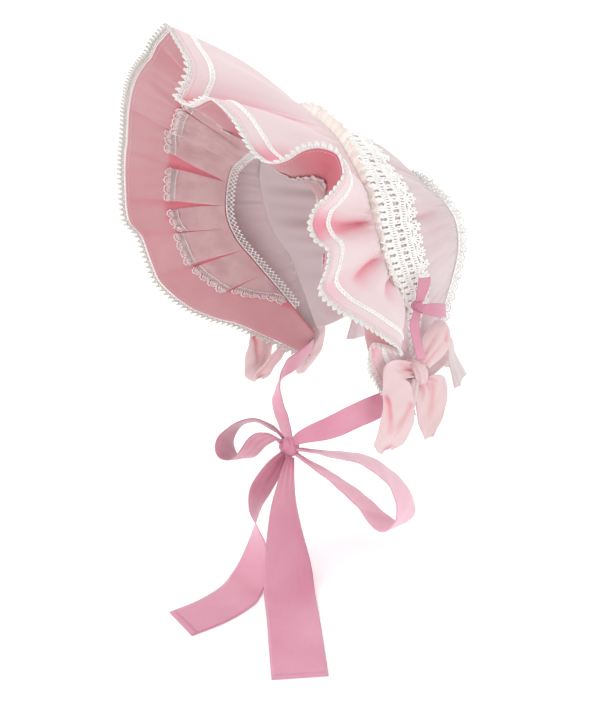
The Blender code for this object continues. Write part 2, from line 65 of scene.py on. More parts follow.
CLOTH_UV = "cloth"          # map of every sheet, in metres along the cloth
FOLD_SHADE = "fold"               # attribute that says how deep a point lies in a fold, where the cloth's colour is painted deeper as shade

Colour = tuple[float, float, float]
Point = tuple[float, float, float]
Grid = np.ndarray
Values = dict[str, object]
Socket = bpy.types.NodeSocket
Tree = bpy.types.NodeTree


class Held(Enum):
    """How a sheet of cloth is held."""

    GATHERED = "gathered"
    HUNG = "hung"
    FOLDED = "folded"


class Side(Enum):
    """Side of the bonnet, with the sign of its X."""

    LEFT = 1
    RIGHT = -1

    @property
    def label(self) -> str:
        """Word that the CAD nodes of this side carry."""
        return self.name.lower()


@dataclass(frozen=True)
class Profile:
    """Smooth, overshoot-free curves through the columns of a short table, keyed by its first column."""

    rows: tuple[tuple[float, ...], ...]

    def read(self, column: int, at: np.ndarray) -> np.ndarray:
        """Read one column of the table.

        Args:
            column: The column to read, from 1.
            at: Key values; they are held inside the table.

        Returns:
            One value for each key.
        """
        x = np.array([row[0] for row in self.rows], float)
        y = np.array([row[column] for row in self.rows], float)
        step = np.diff(x)
        rise = np.diff(y) / step
        slope = np.zeros(len(x))
        same = rise[:-1] * rise[1:] > 0
        first, second = 2 * step[1:] + step[:-1], step[1:] + 2 * step[:-1]
        safe = np.where(rise == 0, 1.0, rise)
        slope[1:-1] = np.where(same, (first + second) / (first / safe[:-1] + second / safe[1:]), 0.0)
        slope[-1] = rise[-1]
        at = np.clip(np.asarray(at, float), x[0], x[-1])
        k = np.clip(np.searchsorted(x, at, side="right") - 1, 0, len(x) - 2)
        s = (at - x[k]) / step[k]
        return ((1 + 2 * s) * (1 - s) ** 2 * y[k] + s * (1 - s) ** 2 * step[k] * slope[k]
                + s * s * (3 - 2 * s) * y[k + 1] + s * s * (s - 1) * step[k] * slope[k + 1])


# Angle from the top of the bonnet, radius from the axis, and depth back from the origin.
SEAM = Profile(((0, 90, -19), (40, 91, -19), (70, 95, -14), (90, 94, -7), (105, 98, 2), (120, 107, 20),
                (135, 120, 29), (150, 145, 40)))
HAIRLINE = Profile(((0, 66, -58), (25, 67, -58), (45, 73, -54), (65, 85, -52), (90, 90, -50), (105, 93, -42),
                    (120, 101, -22), (135, 115, 2), (150, 139, 31)))
BACK_SEAM = Profile(((0, 32, 85), (48, 36.5, 87), (74, 49, 91), (90, 56, 95), (112, 63, 97), (130, 76, 92),
                     (140, 92, 84), (150, 116, 76)))
# Valleys of the brim where shade is painted in as a deeper colour: angle, width, first and last share of the
# brim, strength.
SHADED_VALLEYS = ((26, 4.5, 0.1, 1.0, 0.75), (80, 4.0, 0.02, 0.8, 0.75), (98.5, 3.2, 0.02, 0.66, 0.75),
           (109, 2.6, 0.02, 0.5, 0.7), (-20, 5.0, 0.3, 0.9, 0.2), (-62, 6.0, 0.2, 0.8, 0.25))
# Folds of the lining's box pleats, raised and sunk in turn: angle, and how far the overlay opens there.
PLEATS = ((-150, 0), (-138, 0), (-126, 0.5), (-113, 1.2), (-101, 0.6), (-87, 4.0), (-72, 7.5), (-51, 0.6),
          (-29, 1.2), (-8, 0.6), (12, 2.0), (33, 7.0), (52, 1.0), (72, 5.0), (88, 1.0), (103, 0), (118, 0),
          (134, 0), (150.01, 0))
# Deep gathers that run out from the seam into the ruffle: angle, width, height, and share of the brim.
FOLDS = ((80, 5, -8, 0.75), (90, 5, 3, 0.6), (98.5, 4, -6, 0.65), (104, 3.5, 2, 0.5), (109, 3.5, -5, 0.5),
         (121, 7, 3, 0.6))
# Angle on the seam, then angle, radius and depth of the rim, with the ruffle on the wearer's left.
RIM_LEFT = Profile((
    (0, 0, 165, -139), (7, 7.4, 155, -141), (13, 14, 147, -141), (16, 16.6, 139, -142),
    (18.5, 17.2, 129, -146), (21, 18.2, 121, -150), (25, 23, 120, -147), (32, 31, 136, -138),
    (39, 38.5, 135, -130), (45, 45, 131, -125), (50, 51, 126, -118), (54, 55.5, 128, -110),
    (57, 56.8, 140, -102), (59.5, 56.6, 150, -97), (62, 57.5, 161, -89), (65, 61, 167, -77),
    (69, 66, 164, -75), (72.5, 70, 149, -80), (75, 73, 136, -86), (78.5, 78, 128, -87), (82, 82.5, 129, -84),
    (86, 86, 136, -78), (90, 91, 142, -83), (95, 96.5, 146, -90), (101, 101.7, 153, -79),
    (106, 106, 161, -59), (110.5, 110.5, 165.5, -40), (115, 114.5, 166, -25), (118.5, 117.2, 163, -20),
    (122, 119.5, 150, -24), (126, 123, 140, -27), (131, 130.5, 145, -23), (136, 135.8, 151, -14),
    (141, 140, 156, -5), (150, 150, 172, 36)))
RIM_RIGHT = Profile((
    (0, 0, 165, -139), (9, 9, 154, -140), (19, 18, 145, -139), (29, 29, 144, -137), (41, 41, 145, -133),
    (53, 53.4, 149.5, -126), (66, 66.5, 152.6, -120), (73, 73, 157, -118), (85, 85.8, 165.4, -113),
    (95, 95.7, 170, -109), (101.5, 101.4, 171, -97), (108, 108.4, 174, -91), (115, 115.4, 177, -84),
    (120, 120.3, 176, -74), (125, 124.8, 176, -61), (130, 130, 172, -42), (135, 135, 165, -22),
    (142, 142, 166, 5), (150, 150, 172, 36)))


def unit(vectors: np.ndarray) -> np.ndarray:
    """Vectors of length one, along the last axis."""
    return vectors / np.maximum(np.linalg.norm(vectors, axis=-1, keepdims=True), 1e-9)


def turned(angle: np.ndarray, radius: np.ndarray, depth: np.ndarray) -> np.ndarray:
    """Points at an angle from the top, on the side that the sign of the angle gives."""
    a = np.radians(angle)
    return np.stack([radius * np.sin(a), depth + 0 * a, AXIS_HEIGHT + radius * np.cos(a)], -1)


def lerp(start: np.ndarray, end: np.ndarray, share: np.ndarray) -> np.ndarray:
    """Grid of values between a column of starts and a column of ends, one row for each share."""
    return start[:, None] * (1 - share)[None, :] + end[:, None] * share[None, :]


def fanned(start: np.ndarray, end: np.ndarray, share: np.ndarray) -> np.ndarray:
    """Angle of each point between the angles of two edges; the brim fans out towards its rim."""
    return start[:, None] + (end - start)[:, None] * share ** FAN


def edge(rows: Profile, angle: np.ndarray) -> tuple[np.ndarray, np.ndarray, np.ndarray]:
    """Angle, radius and depth of an edge table at signed angles."""
    return angle, rows.read(1, abs(angle)), rows.read(2, abs(angle))


def rim(angle: np.ndarray) -> tuple[np.ndarray, np.ndarray, np.ndarray]:
    """Angle, radius and depth of the rim that belongs to signed angles of the seam."""
    left, size = angle >= 0, abs(angle)
    turn, radius, depth = (np.where(left, RIM_LEFT.read(k, size), RIM_RIGHT.read(k, size)) for k in (1, 2, 3))
    return np.where(left, turn, -turn), radius, depth


def ripple(at: np.ndarray, seed: int, waves: Sequence[float]) -> np.ndarray:
    """Irregular wave between about -1 and 1, made of sines with seeded phases.

    Args:
        at: Where to read it, in turns.
        seed: Seed of the phases.
        waves: Relative frequencies of the sines.

    Returns:
        One value for each place.
    """
    phases = np.random.default_rng(seed).uniform(0, 2 * np.pi, len(waves))
    return sum(np.sin(2 * np.pi * at * w + p) for w, p in zip(waves, phases)) / len(waves) ** 0.5


def eased(x: np.ndarray, low: float, high: float) -> np.ndarray:
    """Smooth step from 0 at `low` to 1 at `high`."""
    t = np.clip((x - low) / (high - low), 0, 1)
    return t * t * (3 - 2 * t)


def arch(share: np.ndarray) -> np.ndarray:
    """Half a wave: 0 at shares 0 and 1, and 1 between them."""
    return np.sin(np.pi * share)


def bell(x: np.ndarray, middle: float, width: float) -> np.ndarray:
    """Smooth hump of height 1 about a middle."""
    return np.exp(-((x - middle) / width) ** 2)


class Surface:
    """A dense grid of cloth points in millimetres, with normals across x along."""

    def __init__(self, points: Grid) -> None:
        """Keep the points and work out their normals."""
        self.points = np.asarray(points, float)
        self.columns, self.rows = self.points.shape[:2]
        across = np.gradient(self.points, axis=0)
        along = np.gradient(self.points, axis=1)
        self.normals = unit(np.cross(across, along))

    def at(self, column: np.ndarray, row: np.ndarray, lift: np.ndarray | float = 0.0) -> np.ndarray:
        """Points at fractional places of the grid, lifted off the cloth.

        Args:
            column: Column share from 0 to 1.
            row: Row share from 0 to 1, of the same shape.
            lift: Height along the normal.

        Returns:
            Points with the shape of the places.
        """
        column, row, lift = np.broadcast_arrays(column, row, np.asarray(lift, float))
        x, y = column * (self.columns - 1), row * (self.rows - 1)
        c = np.clip(x.astype(int), 0, self.columns - 2)
        r = np.clip(y.astype(int), 0, self.rows - 2)
        u, v = (x - c)[..., None], (y - r)[..., None]
        point, normal = (
            grid[c, r] * (1 - u) * (1 - v) + grid[c + 1, r] * u * (1 - v)
            + grid[c, r + 1] * (1 - u) * v + grid[c + 1, r + 1] * u * v
            for grid in (self.points, self.normals))
        return point + unit(normal) * lift[..., None]

    def from_rim(self, column: np.ndarray, distance: np.ndarray | float) -> np.ndarray:
        """Row shares that lie at a distance in from the last row, for column shares."""
        steps = np.linalg.norm(np.diff(self.points[:, ::-1], axis=1), axis=2)
        total = np.concatenate([np.zeros((self.columns, 1)), np.cumsum(steps, axis=1)], axis=1)
        column, distance = np.broadcast_arrays(column, np.asarray(distance, float))
        out = np.empty(column.shape)
        shares = np.linspace(1, 0, self.rows)
        for k, (c, d) in enumerate(zip(column.ravel(), distance.ravel())):
            out.flat[k] = np.interp(d, total[int(round(c * (self.columns - 1)))], shares)
        return out

    def strip(self, near: float, far: float, lift: float, span: tuple[float, float]) -> Grid:
        """Guide for a trim: three rows between two distances from the last row, over a span of columns.

        Args:
            near: Distance of the first row in from the edge.
            far: Distance of the third row.
            lift: Height along the normal.
            span: First and last column share.

        Returns:
            The points of the guide.
        """
        column = np.linspace(*span, 900)
        rows = [self.from_rim(column, distance) for distance in (near, (near + far) / 2, far)]
        return np.stack([self.at(column, row, lift) for row in rows], 1)

    def hollows(self, reach: int, scale: float, sign: float = 1.0) -> np.ndarray:
        """How deep each point lies in a fold, from 0 to 1.

        Args:
            reach: Columns on each side that the cloth is compared with.
            scale: Depth in millimetres that counts as 1.
            sign: 1 where the normals point away from the side that shows, otherwise -1.

        Returns:
            One value for each point of the grid.
        """
        smooth, window = self.points, 2 * reach + 1
        for _ in range(2):
            pad = np.concatenate([np.repeat(smooth[:1], reach, 0), smooth, np.repeat(smooth[-1:], reach, 0)])
            total = np.cumsum(np.concatenate([np.zeros_like(pad[:1]), pad]), axis=0)
            smooth = (total[window:] - total[:-window]) / window
        depth = ((self.points - smooth) * self.normals).sum(-1) * sign
        return np.clip(depth / scale, 0, 1)


def link(name: str, data: bpy.types.ID) -> bpy.types.Object:
    """Object of a mesh, camera or light in the scene."""
    made = bpy.data.objects.new(name, data)
    bpy.context.scene.collection.objects.link(made)
    return made


def grid_object(name: str, points: Grid, size: tuple[float, float] | None = None,
                closed: bool = False, fold: np.ndarray | None = None) -> bpy.types.Object:
    """Mesh of a grid of points, with a UV map in metres that follows the cloth.

    Args:
        name: Name of the object.
        points: Columns x rows of points in millimetres.
        size: Flat length and width in millimetres, or None to measure them.
        closed: Whether the last column joins the first.
        fold: Depth in a fold for each point, from 0 to 1, kept as an attribute that paints shade into the
            cloth's colour.

    Returns:
        The object.
    """
    columns, rows = points.shape[:2]
    index = np.arange(columns * rows).reshape(columns, rows)
    c = np.arange(columns if closed else columns - 1)
    d = (c + 1) % columns
    quads = np.stack([index[c][:, :-1], index[d][:, :-1], index[d][:, 1:], index[c][:, 1:]], -1)
    quads = quads.reshape(-1, 4)
    mesh = bpy.data.meshes.new(name)
    mesh.from_pydata((points.reshape(-1, 3) * MM).tolist(), [], quads.tolist())
    along = np.linalg.norm(np.diff(points, axis=0), axis=2).mean(1)
    across = np.linalg.norm(np.diff(points, axis=1), axis=2).mean(0)
    u, v = (np.concatenate([[0], np.cumsum(steps)]) for steps in (along, across))
    if size:
        u, v = u / u[-1] * size[0], v / v[-1] * size[1]
    flat = np.stack(np.meshgrid(u, v, indexing="ij"), -1).reshape(-1, 2) * MM
    layer = mesh.uv_layers.new(name=CLOTH_UV)
    layer.data.foreach_set("uv", flat[quads.ravel()].astype(np.float32).ravel())
    mesh.polygons.foreach_set("use_smooth", [True] * len(mesh.polygons))
    depth = np.zeros(columns * rows) if fold is None else fold.ravel()
    mesh.attributes.new(FOLD_SHADE, "FLOAT", "POINT").data.foreach_set("value", depth.astype(np.float32))
    mesh.update()
    return link(name, mesh)


def merged(name: str, parts: Sequence[bpy.types.Object]) -> bpy.types.Object:
    """One object of several plain meshes, which are removed."""
    whole = bmesh.new()
    for part in parts:
        whole.from_mesh(part.data)
        bpy.data.objects.remove(part, do_unlink=True)
    mesh = bpy.data.meshes.new(name)
    whole.to_mesh(mesh)
    whole.free()
    return link(name, mesh)


def closed_pole(piece: bpy.types.Object, reach: float = 0.002) -> bpy.types.Object:
    """Join the points that meet in the middle of a round grid, within a reach in millimetres."""
    mesh = bmesh.new()
    mesh.from_mesh(piece.data)
    bmesh.ops.remove_doubles(mesh, verts=mesh.verts[:], dist=reach * MM)
    mesh.to_mesh(piece.data)
    mesh.free()
    return piece


def thicken(piece: bpy.types.Object, thickness: float) -> bpy.types.Object:
    """Give a sheet its wall, in millimetres, on both sides of the surface."""
    skin = piece.modifiers.new("thickness", "SOLIDIFY")
    skin.thickness = thickness * MM
    skin.offset = 0.0
    return piece


class Graph:
    """Short calls for making the nodes of one tree."""

    def __init__(self, tree: Tree) -> None:
        """Keep the tree."""
        self.tree = tree

    def node(self, kind: str, values: Values | None = None, **settings: object) -> bpy.types.Node:
        """Add a node.

        Args:
            kind: Type of the node.
            values: Value or socket for each named input.
            settings: Properties of the node.

        Returns:
            The node.
        """
        made = self.tree.nodes.new(kind)
        for name, value in settings.items():
            setattr(made, name, value)
        return self.feed(made, values or {})

    def read(self, kind: str, values: Values | None = None, **settings: object) -> Socket:
        """First output of a new node."""
        return self.node(kind, values, **settings).outputs[0]

    def put(self, value: object, socket: Socket) -> None:
        """Link a socket, or set a plain value, on an input."""
        if isinstance(value, Socket):
            self.tree.links.new(value, socket)
        else:
            socket.default_value = value

    def feed(self, node: bpy.types.Node, values: Values) -> bpy.types.Node:
        """Put each value on the input of its name."""
        for name, value in values.items():
            self.put(value, node.inputs[name])
        return node

    def math(self, operation: str, first: object, second: object = 0.0) -> Socket:
        """Output of a math node."""
        made = self.node("ShaderNodeMath", operation=operation)
        self.put(first, made.inputs[0])
        if operation not in ("SINE", "ABSOLUTE"):
            self.put(second, made.inputs[1])
        return made.outputs[0]

    def vector(self, operation: str, first: object, second: object) -> Socket:
        """Output of a vector math node; SCALE takes a number as its second value."""
        made = self.node("ShaderNodeVectorMath", operation=operation)
        self.put(first, made.inputs[0])
        self.put(second, made.inputs["Scale"] if operation == "SCALE" else made.inputs[1])
        return made.outputs[0]

    def apart(self, vector: object) -> Sequence[Socket]:
        """The three parts of a vector."""
        made = self.node("ShaderNodeSeparateXYZ")
        self.put(vector, made.inputs[0])
        return made.outputs

    def together(self, *parts: object) -> Socket:
        """Vector of some parts; the others stay 0."""
        made = self.node("ShaderNodeCombineXYZ")
        for part, socket in zip(parts, made.inputs):
            self.put(part, socket)
        return made.outputs[0]

    def mix(self, factor: object, first: object, second: object) -> Socket:
        """Colour between two colours."""
        made = self.node("ShaderNodeMix", data_type="RGBA")
        self.put(factor, made.inputs["Factor"])
        for colour, socket in zip((first, second), [s for s in made.inputs if s.type == "RGBA"]):
            self.put(colour, socket)
        return next(s for s in made.outputs if s.type == "RGBA")

    def noise(self, vector: object, scale: object, detail: float = 3.0) -> Socket:
        """Noise between 0 and 1."""
        return self.read("ShaderNodeTexNoise", {"Vector": vector, "Scale": scale, "Detail": detail})

    def spread(self, value: object, low: float, high: float) -> Socket:
        """Value stretched so that low becomes 0 and high becomes 1."""
        return self.read("ShaderNodeMapRange", {"Value": value, "From Min": low, "From Max": high})

    def use(self, tree: Tree, **values: object) -> bpy.types.Node:
        """Place a node group and give it its values."""
        return self.node("ShaderNodeGroup", values, node_tree=tree)

    def relief(self, height: object, strength: float, distance: float) -> Socket:
        """Normal that is bumped by a height; the distance is in metres."""
        return self.read("ShaderNodeBump", {"Strength": strength, "Distance": distance, "Height": height})

    def moved(self, geometry: object, **values: object) -> Socket:
        """Geometry with its points at a new Position, or moved by an Offset."""
        return self.read("GeometryNodeSetPosition", {"Geometry": geometry, **values})

    def realized(self, geometry: object) -> Socket:
        """Geometry whose instances are real."""
        return self.read("GeometryNodeRealizeInstances", {"Geometry": geometry})

    def dressed(self, geometry: object, material: object) -> Socket:
        """Geometry with a material."""
        return self.read("GeometryNodeSetMaterial", {"Geometry": geometry, "Material": material})


TreeBuilder = Callable[[], Tree]


def kept_as(name: str) -> Callable[[Callable[[str], Tree]], TreeBuilder]:
    """Keep the tree that a function builds under a name, so that it is built only once."""
    def keep(build: Callable[[str], Tree]) -> TreeBuilder:
        """Function that finds the tree, or has it built."""
        @wraps(build)
        def find() -> Tree:
            """Tree of this name."""
            return bpy.data.node_groups.get(name) or build(name)
        return find
    return keep


def new_group(name: str, kind: str, inputs: dict[str, tuple[str, object]],
              outputs: dict[str, str]) -> tuple[Graph, Sequence[Socket], bpy.types.Node]:
    """Make a node group with named sockets.

    Args:
        name: Name of the group.
        kind: Tree type.
        inputs: Type of socket and first value for each input, which is None where it has none.
        outputs: Type of socket for each output.

    Returns:
        The graph of the group, its inputs by name, and its output node.
    """
    tree = bpy.data.node_groups.new(name, kind)
    for label, (socket, value) in inputs.items():
        made = tree.interface.new_socket(label, in_out="INPUT", socket_type=f"NodeSocket{socket}")
        if value is not None:
            made.default_value = value
    for label, socket in outputs.items():
        tree.interface.new_socket(label, in_out="OUTPUT", socket_type=f"NodeSocket{socket}")
    graph = Graph(tree)
    return graph, graph.node("NodeGroupInput").outputs, graph.node("NodeGroupOutput")


@kept_as("weave")
def weave_group(name: str) -> Tree:
    """Group for woven threads, read from the cloth's own map: the height of the threads, and slubs."""
    graph, given, result = new_group(
        name, "ShaderNodeTree",
        {"Vector": ("Vector", None), "Threads": ("Float", 2000.0), "Rib": ("Float", 0.5)},
        {"Height": "Float", "Slub": "Float"})
    cloth = given["Vector"]
    turns = graph.math("MULTIPLY", given["Threads"], np.pi)
    warp, weft = (graph.math("SINE", graph.math("MULTIPLY", part, turns)) for part in graph.apart(cloth)[:2])
    plain = graph.math("MULTIPLY", warp, weft)
    rib = graph.math("MULTIPLY", graph.math("ABSOLUTE", weft), given["Rib"])
    drawn = graph.read("ShaderNodeMapping", {"Scale": (60.0, 900.0, 1.0), "Vector": cloth})
    slub = graph.noise(drawn, 1.0, 2.0)
    graph.feed(result, {"Height": graph.math("ADD", plain, rib), "Slub": slub})
    return graph.tree


@kept_as("tone")
def tone_group(name: str) -> Tree:
    """Group for the uneven tone of a dyed cloth, with a paler colour beside, and painted shade: a deeper
    colour in its folds.
    """
    white = (1, 1, 1, 1)
    graph, given, result = new_group(
        name, "ShaderNodeTree",
        {"Vector": ("Vector", None), "Colour": ("Color", white), "Pale": ("Color", white),
         "Deep": ("Color", white), "Fold": ("Float", 0.0), "Scale": ("Float", 14.0)},
        {"Colour": "Color", "Patch": "Float"})
    patch = graph.noise(given["Vector"], given["Scale"], 4.0)
    soft = graph.spread(patch, 0.35, 0.7)
    base = graph.mix(graph.math("MULTIPLY", soft, 0.55), given["Colour"], given["Pale"])
    # painted shade: the deep colour is mixed in as far as the fold mask says
    colour = graph.mix(given["Fold"], base, given["Deep"])
    graph.feed(result, {"Colour": colour, "Patch": soft})
    return graph.tree


@kept_as("thread")
def thread_group(name: str) -> Tree:
    """Group for twisted thread: the height of its plies and fuzz, and a mask of its dusty hollows."""
    graph, given, result = new_group(
        name, "ShaderNodeTree", {"Vector": ("Vector", None), "Plies": ("Float", 1500.0)},
        {"Height": "Float", "Hollow": "Float"})
    place = given["Vector"]
    waves = graph.node("ShaderNodeTexWave", {"Vector": place, "Scale": given["Plies"], "Distortion": 3.0},
                       wave_type="BANDS", bands_direction="DIAGONAL")
    height = graph.math("ADD", waves.outputs["Fac"], graph.noise(place, 2600.0, 2.0))
    hollow = graph.spread(graph.noise(place, 55.0), 0.4, 0.75)
    graph.feed(result, {"Height": height, "Hollow": hollow})
    return graph.tree


@kept_as("net")
def net_group(name: str) -> Tree:
    """Group for a fine net: its cover, which is 1 on a thread and 0 in a hole."""
    graph, given, result = new_group(
        name, "ShaderNodeTree",
        {"Vector": ("Vector", None), "Holes": ("Float", 550.0), "Thread": ("Float", 0.2)}, {"Cover": "Float"})
    cells = graph.node(
        "ShaderNodeTexVoronoi", {"Vector": given["Vector"], "Scale": given["Holes"], "Randomness": 0.25},
        feature="DISTANCE_TO_EDGE", voronoi_dimensions="2D")
    less = graph.math("SUBTRACT", given["Thread"], cells.outputs["Distance"])
    graph.feed(result, {"Cover": graph.spread(less, -0.05, 0.05)})
    return graph.tree


def opaque(colour: Colour) -> tuple[float, float, float, float]:
    """Colour with its alpha."""
    return (*colour, 1.0)


def roughened(graph: Graph, patch: Socket, least: float) -> Socket:
    """Roughness that rises a little over a patchy mask."""
    return graph.math("ADD", graph.math("MULTIPLY", patch, 0.1), least)


def new_material(name: str) -> tuple[bpy.types.Material, Graph, bpy.types.Node]:
    """Material with a Principled shader, its graph and the shader."""
    made = bpy.data.materials.new(name)
    made.use_nodes = True
    return made, Graph(made.node_tree), made.node_tree.nodes["Principled BSDF"]


@dataclass(frozen=True)
class Finish:
    """A finish with its name, the slot that it fills and its main colour."""

    name: str
    slot: str
    colour: Colour

    def material(self) -> bpy.types.Material:
        """Material of this finish, made once."""
        found = bpy.data.materials.get(self.name)
        if found:
            return found
        made, graph, shader = new_material(self.name)
        self.dress(graph, shader, graph.node("ShaderNodeTexCoord").outputs["Object"])
        return made

    def dress(self, graph: Graph, shader: bpy.types.Node, place: Socket) -> None:
        """Feed the shader of this finish from places on the object."""
        raise NotImplementedError


@dataclass(frozen=True)
class ClothFinish(Finish):
    """Woven cloth: plain weave or satin, with tone, shade painted deeper into its folds, sheen and thread
    relief.
    """

    pale: Colour
    # painted shade: the colour mixed in where the fold attribute says a point lies in a fold
    deep: Colour
    roughness: float = 0.75
    sheen: float = 0.35
    sheen_tint: Colour = (1.0, 0.9, 0.93)
    specular: float = 0.35
    threads: float = 1800.0
    rib: float = 0.4
    relief: float = 0.16
    tone_scale: float = 14.0

    def dress(self, graph: Graph, shader: bpy.types.Node, place: Socket) -> None:
        """Feed the shader with the tone, the shade painted into the folds, and the weave."""
        cloth = graph.read("ShaderNodeUVMap", uv_map=CLOTH_UV)
        # mask of the shade painted into the folds
        fold = graph.node("ShaderNodeAttribute", attribute_name=FOLD_SHADE).outputs["Fac"]
        tone = graph.use(tone_group(), Vector=place, Colour=opaque(self.colour), Pale=opaque(self.pale),
                         Deep=opaque(self.deep), Fold=fold, Scale=self.tone_scale)
        weave = graph.use(weave_group(), Vector=cloth, Threads=self.threads, Rib=self.rib)
        slub = graph.spread(weave.outputs["Slub"], 0.3, 0.75)
        shaded = graph.mix(graph.math("MULTIPLY", slub, 0.16), tone.outputs["Colour"], opaque(self.pale))
        graph.feed(shader, {
            "Base Color": shaded, "Roughness": roughened(graph, tone.outputs["Patch"], self.roughness - 0.05),
            "Normal": graph.relief(weave.outputs["Height"], self.relief, 0.0004), "Sheen Weight": self.sheen,
            "Sheen Roughness": 0.4, "Sheen Tint": opaque(self.sheen_tint),
            "Specular IOR Level": self.specular})


@dataclass(frozen=True)
class ThreadFinish(Finish):
    """Cotton thread of the laces and stitches, with a glow of painted light and a second colour painted as
    shade on the far side, each where it is given.
    """

    shade: Colour
    roughness: float = 0.85
    plies: float = 1500.0
    glow: float = 0.0
    far: Colour | None = None

    def dress(self, graph: Graph, shader: bpy.types.Node, place: Socket) -> None:
        """Feed the shader with the twist and the dusty hollows of the thread."""
        thread = graph.use(thread_group(), Vector=place, Plies=self.plies)
        colour = graph.mix(thread.outputs["Hollow"], opaque(self.colour), opaque(self.shade))
        # painted shade: the far side, at negative X, takes the far colour
        if self.far:
            colour = graph.mix(graph.spread(graph.apart(place)[0], -0.02, 0.04), opaque(self.far), colour)
        graph.feed(shader, {
            "Base Color": colour, "Roughness": roughened(graph, thread.outputs["Hollow"], self.roughness),
            "Normal": graph.relief(thread.outputs["Height"], 0.3, 0.0002), "Sheen Weight": 0.3})
        # painted light: a glow that makes the thread look brighter
        if self.glow:
            graph.feed(shader, {"Emission Color": colour, "Emission Strength": self.glow})


@dataclass(frozen=True)
class NetFinish(Finish):
    """Sheer net or tulle: threads with real holes between them."""

    shade: Colour
    holes: float
    thread: float
    roughness: float = 0.8
    plies: float = 900.0

    def dress(self, graph: Graph, shader: bpy.types.Node, place: Socket) -> None:
        """Feed the shader with the cover of the net and the tone of its thread."""
        cloth = graph.read("ShaderNodeUVMap", uv_map=CLOTH_UV)
        net = graph.use(net_group(), Vector=cloth, Holes=self.holes, Thread=self.thread)
        thread = graph.use(thread_group(), Vector=place, Plies=self.plies)
        colour = graph.mix(thread.outputs["Hollow"], opaque(self.colour), opaque(self.shade))
        cover = net.outputs["Cover"]
        graph.feed(shader, {
            "Base Color": colour, "Alpha": cover, "Normal": graph.relief(cover, 0.3, 0.0003),
            "Roughness": roughened(graph, thread.outputs["Hollow"], self.roughness)})


BRIM_CLOTH = ClothFinish("brim_cotton", "cloth_pink", (0.81, 0.635, 0.65), (0.84, 0.73, 0.735),
                         (0.80, 0.28, 0.35))
LINING_CLOTH = ClothFinish("lining_cotton", "cloth_rose", (0.49, 0.22, 0.24), (0.56, 0.34, 0.355),
                           (0.56, 0.12, 0.16))
CROWN_CLOTH = ClothFinish("crown_cotton", "cloth_pale", (0.70, 0.585, 0.60), (0.77, 0.69, 0.70),
                          (0.60, 0.34, 0.38))
BOW_CLOTH = ClothFinish("bow_cotton", "bow_pink", (0.77, 0.565, 0.57), (0.81, 0.67, 0.68),
                        (0.72, 0.20, 0.24), relief=0.1)
# partly painted highlight: the satin's pale colour is raised, so that its paler patches also stand in for
# sheen highlights
SATIN = ClothFinish("ribbon_satin", "satin_pink", (0.62, 0.235, 0.34), (0.80, 0.44, 0.54), (0.45, 0.10, 0.18),
                    roughness=0.38, sheen=0.3, specular=0.5, threads=2600.0, rib=1.2, relief=0.06,
                    tone_scale=9.0)
SATIN_LIT = replace(SATIN, name="ribbon_satin_lit", colour=(0.80, 0.42, 0.53), pale=(0.92, 0.62, 0.71))
# painted light: this lace glows
WHITE_THREAD = ThreadFinish("lace_cotton", "lace_white", (0.95, 0.94, 0.92), (0.88, 0.86, 0.83), glow=0.15)
# painted shade: the rim lace is a little darker and has no glow, and its far side is darker still
RIM_THREAD = ThreadFinish("rim_lace_cotton", "lace_white", (0.92, 0.905, 0.88), (0.84, 0.82, 0.78),
                          far=(0.66, 0.62, 0.58))
# painted shade: white lace coloured dimmer and pinker, as it looks in the lining's shade
LINING_THREAD = ThreadFinish("lining_lace_cotton", "lace_white", (0.84, 0.70, 0.70), (0.74, 0.57, 0.57))
PIPING_THREAD = ThreadFinish("rim_piping_cotton", "cloth_pink", (0.88, 0.73, 0.74), (0.82, 0.62, 0.64))
# painted light: this frill thread glows
CREAM_THREAD = ThreadFinish("frill_thread", "lace_cream", (0.96, 0.93, 0.89), (0.93, 0.87, 0.82), glow=0.12)
PINK_THREAD = ThreadFinish("stitch_thread", "cloth_pink", (0.86, 0.55, 0.63), (0.72, 0.36, 0.46))
SATIN_STITCH = ThreadFinish("hem_thread", "satin_pink", (0.66, 0.27, 0.42), (0.5, 0.16, 0.28), roughness=0.6)
# painted shade: white net coloured dimmer and pinker, as it looks over the lining in shade
TULLE = NetFinish("tulle", "lace_white", (0.68, 0.50, 0.50), (0.56, 0.36, 0.37), holes=1150.0, thread=0.2)
CREAM_NET = NetFinish("frill_net", "lace_cream", (0.95, 0.92, 0.87), (0.93, 0.86, 0.80), holes=520.0,
                      thread=0.46)


def publish(piece: bpy.types.Object, finish: Finish, nodes: Sequence[str] = ()) -> bpy.types.Object:
    """Dress a finished piece, let it ride and say which CAD nodes it stands for.

    Args:
        piece: The finished object.
        finish: Its finish.
        nodes: CAD nodes that it stands for.

    Returns:
        The same object.
    """
    piece.data.materials.clear()
    piece.data.materials.append(finish.material())
    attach(piece, BODY)
    if nodes:
        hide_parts(*nodes)
    LOG.info("%s: %d faces, stands for %s", piece.name, len(piece.data.polygons), list(nodes) or "nothing")
    return piece


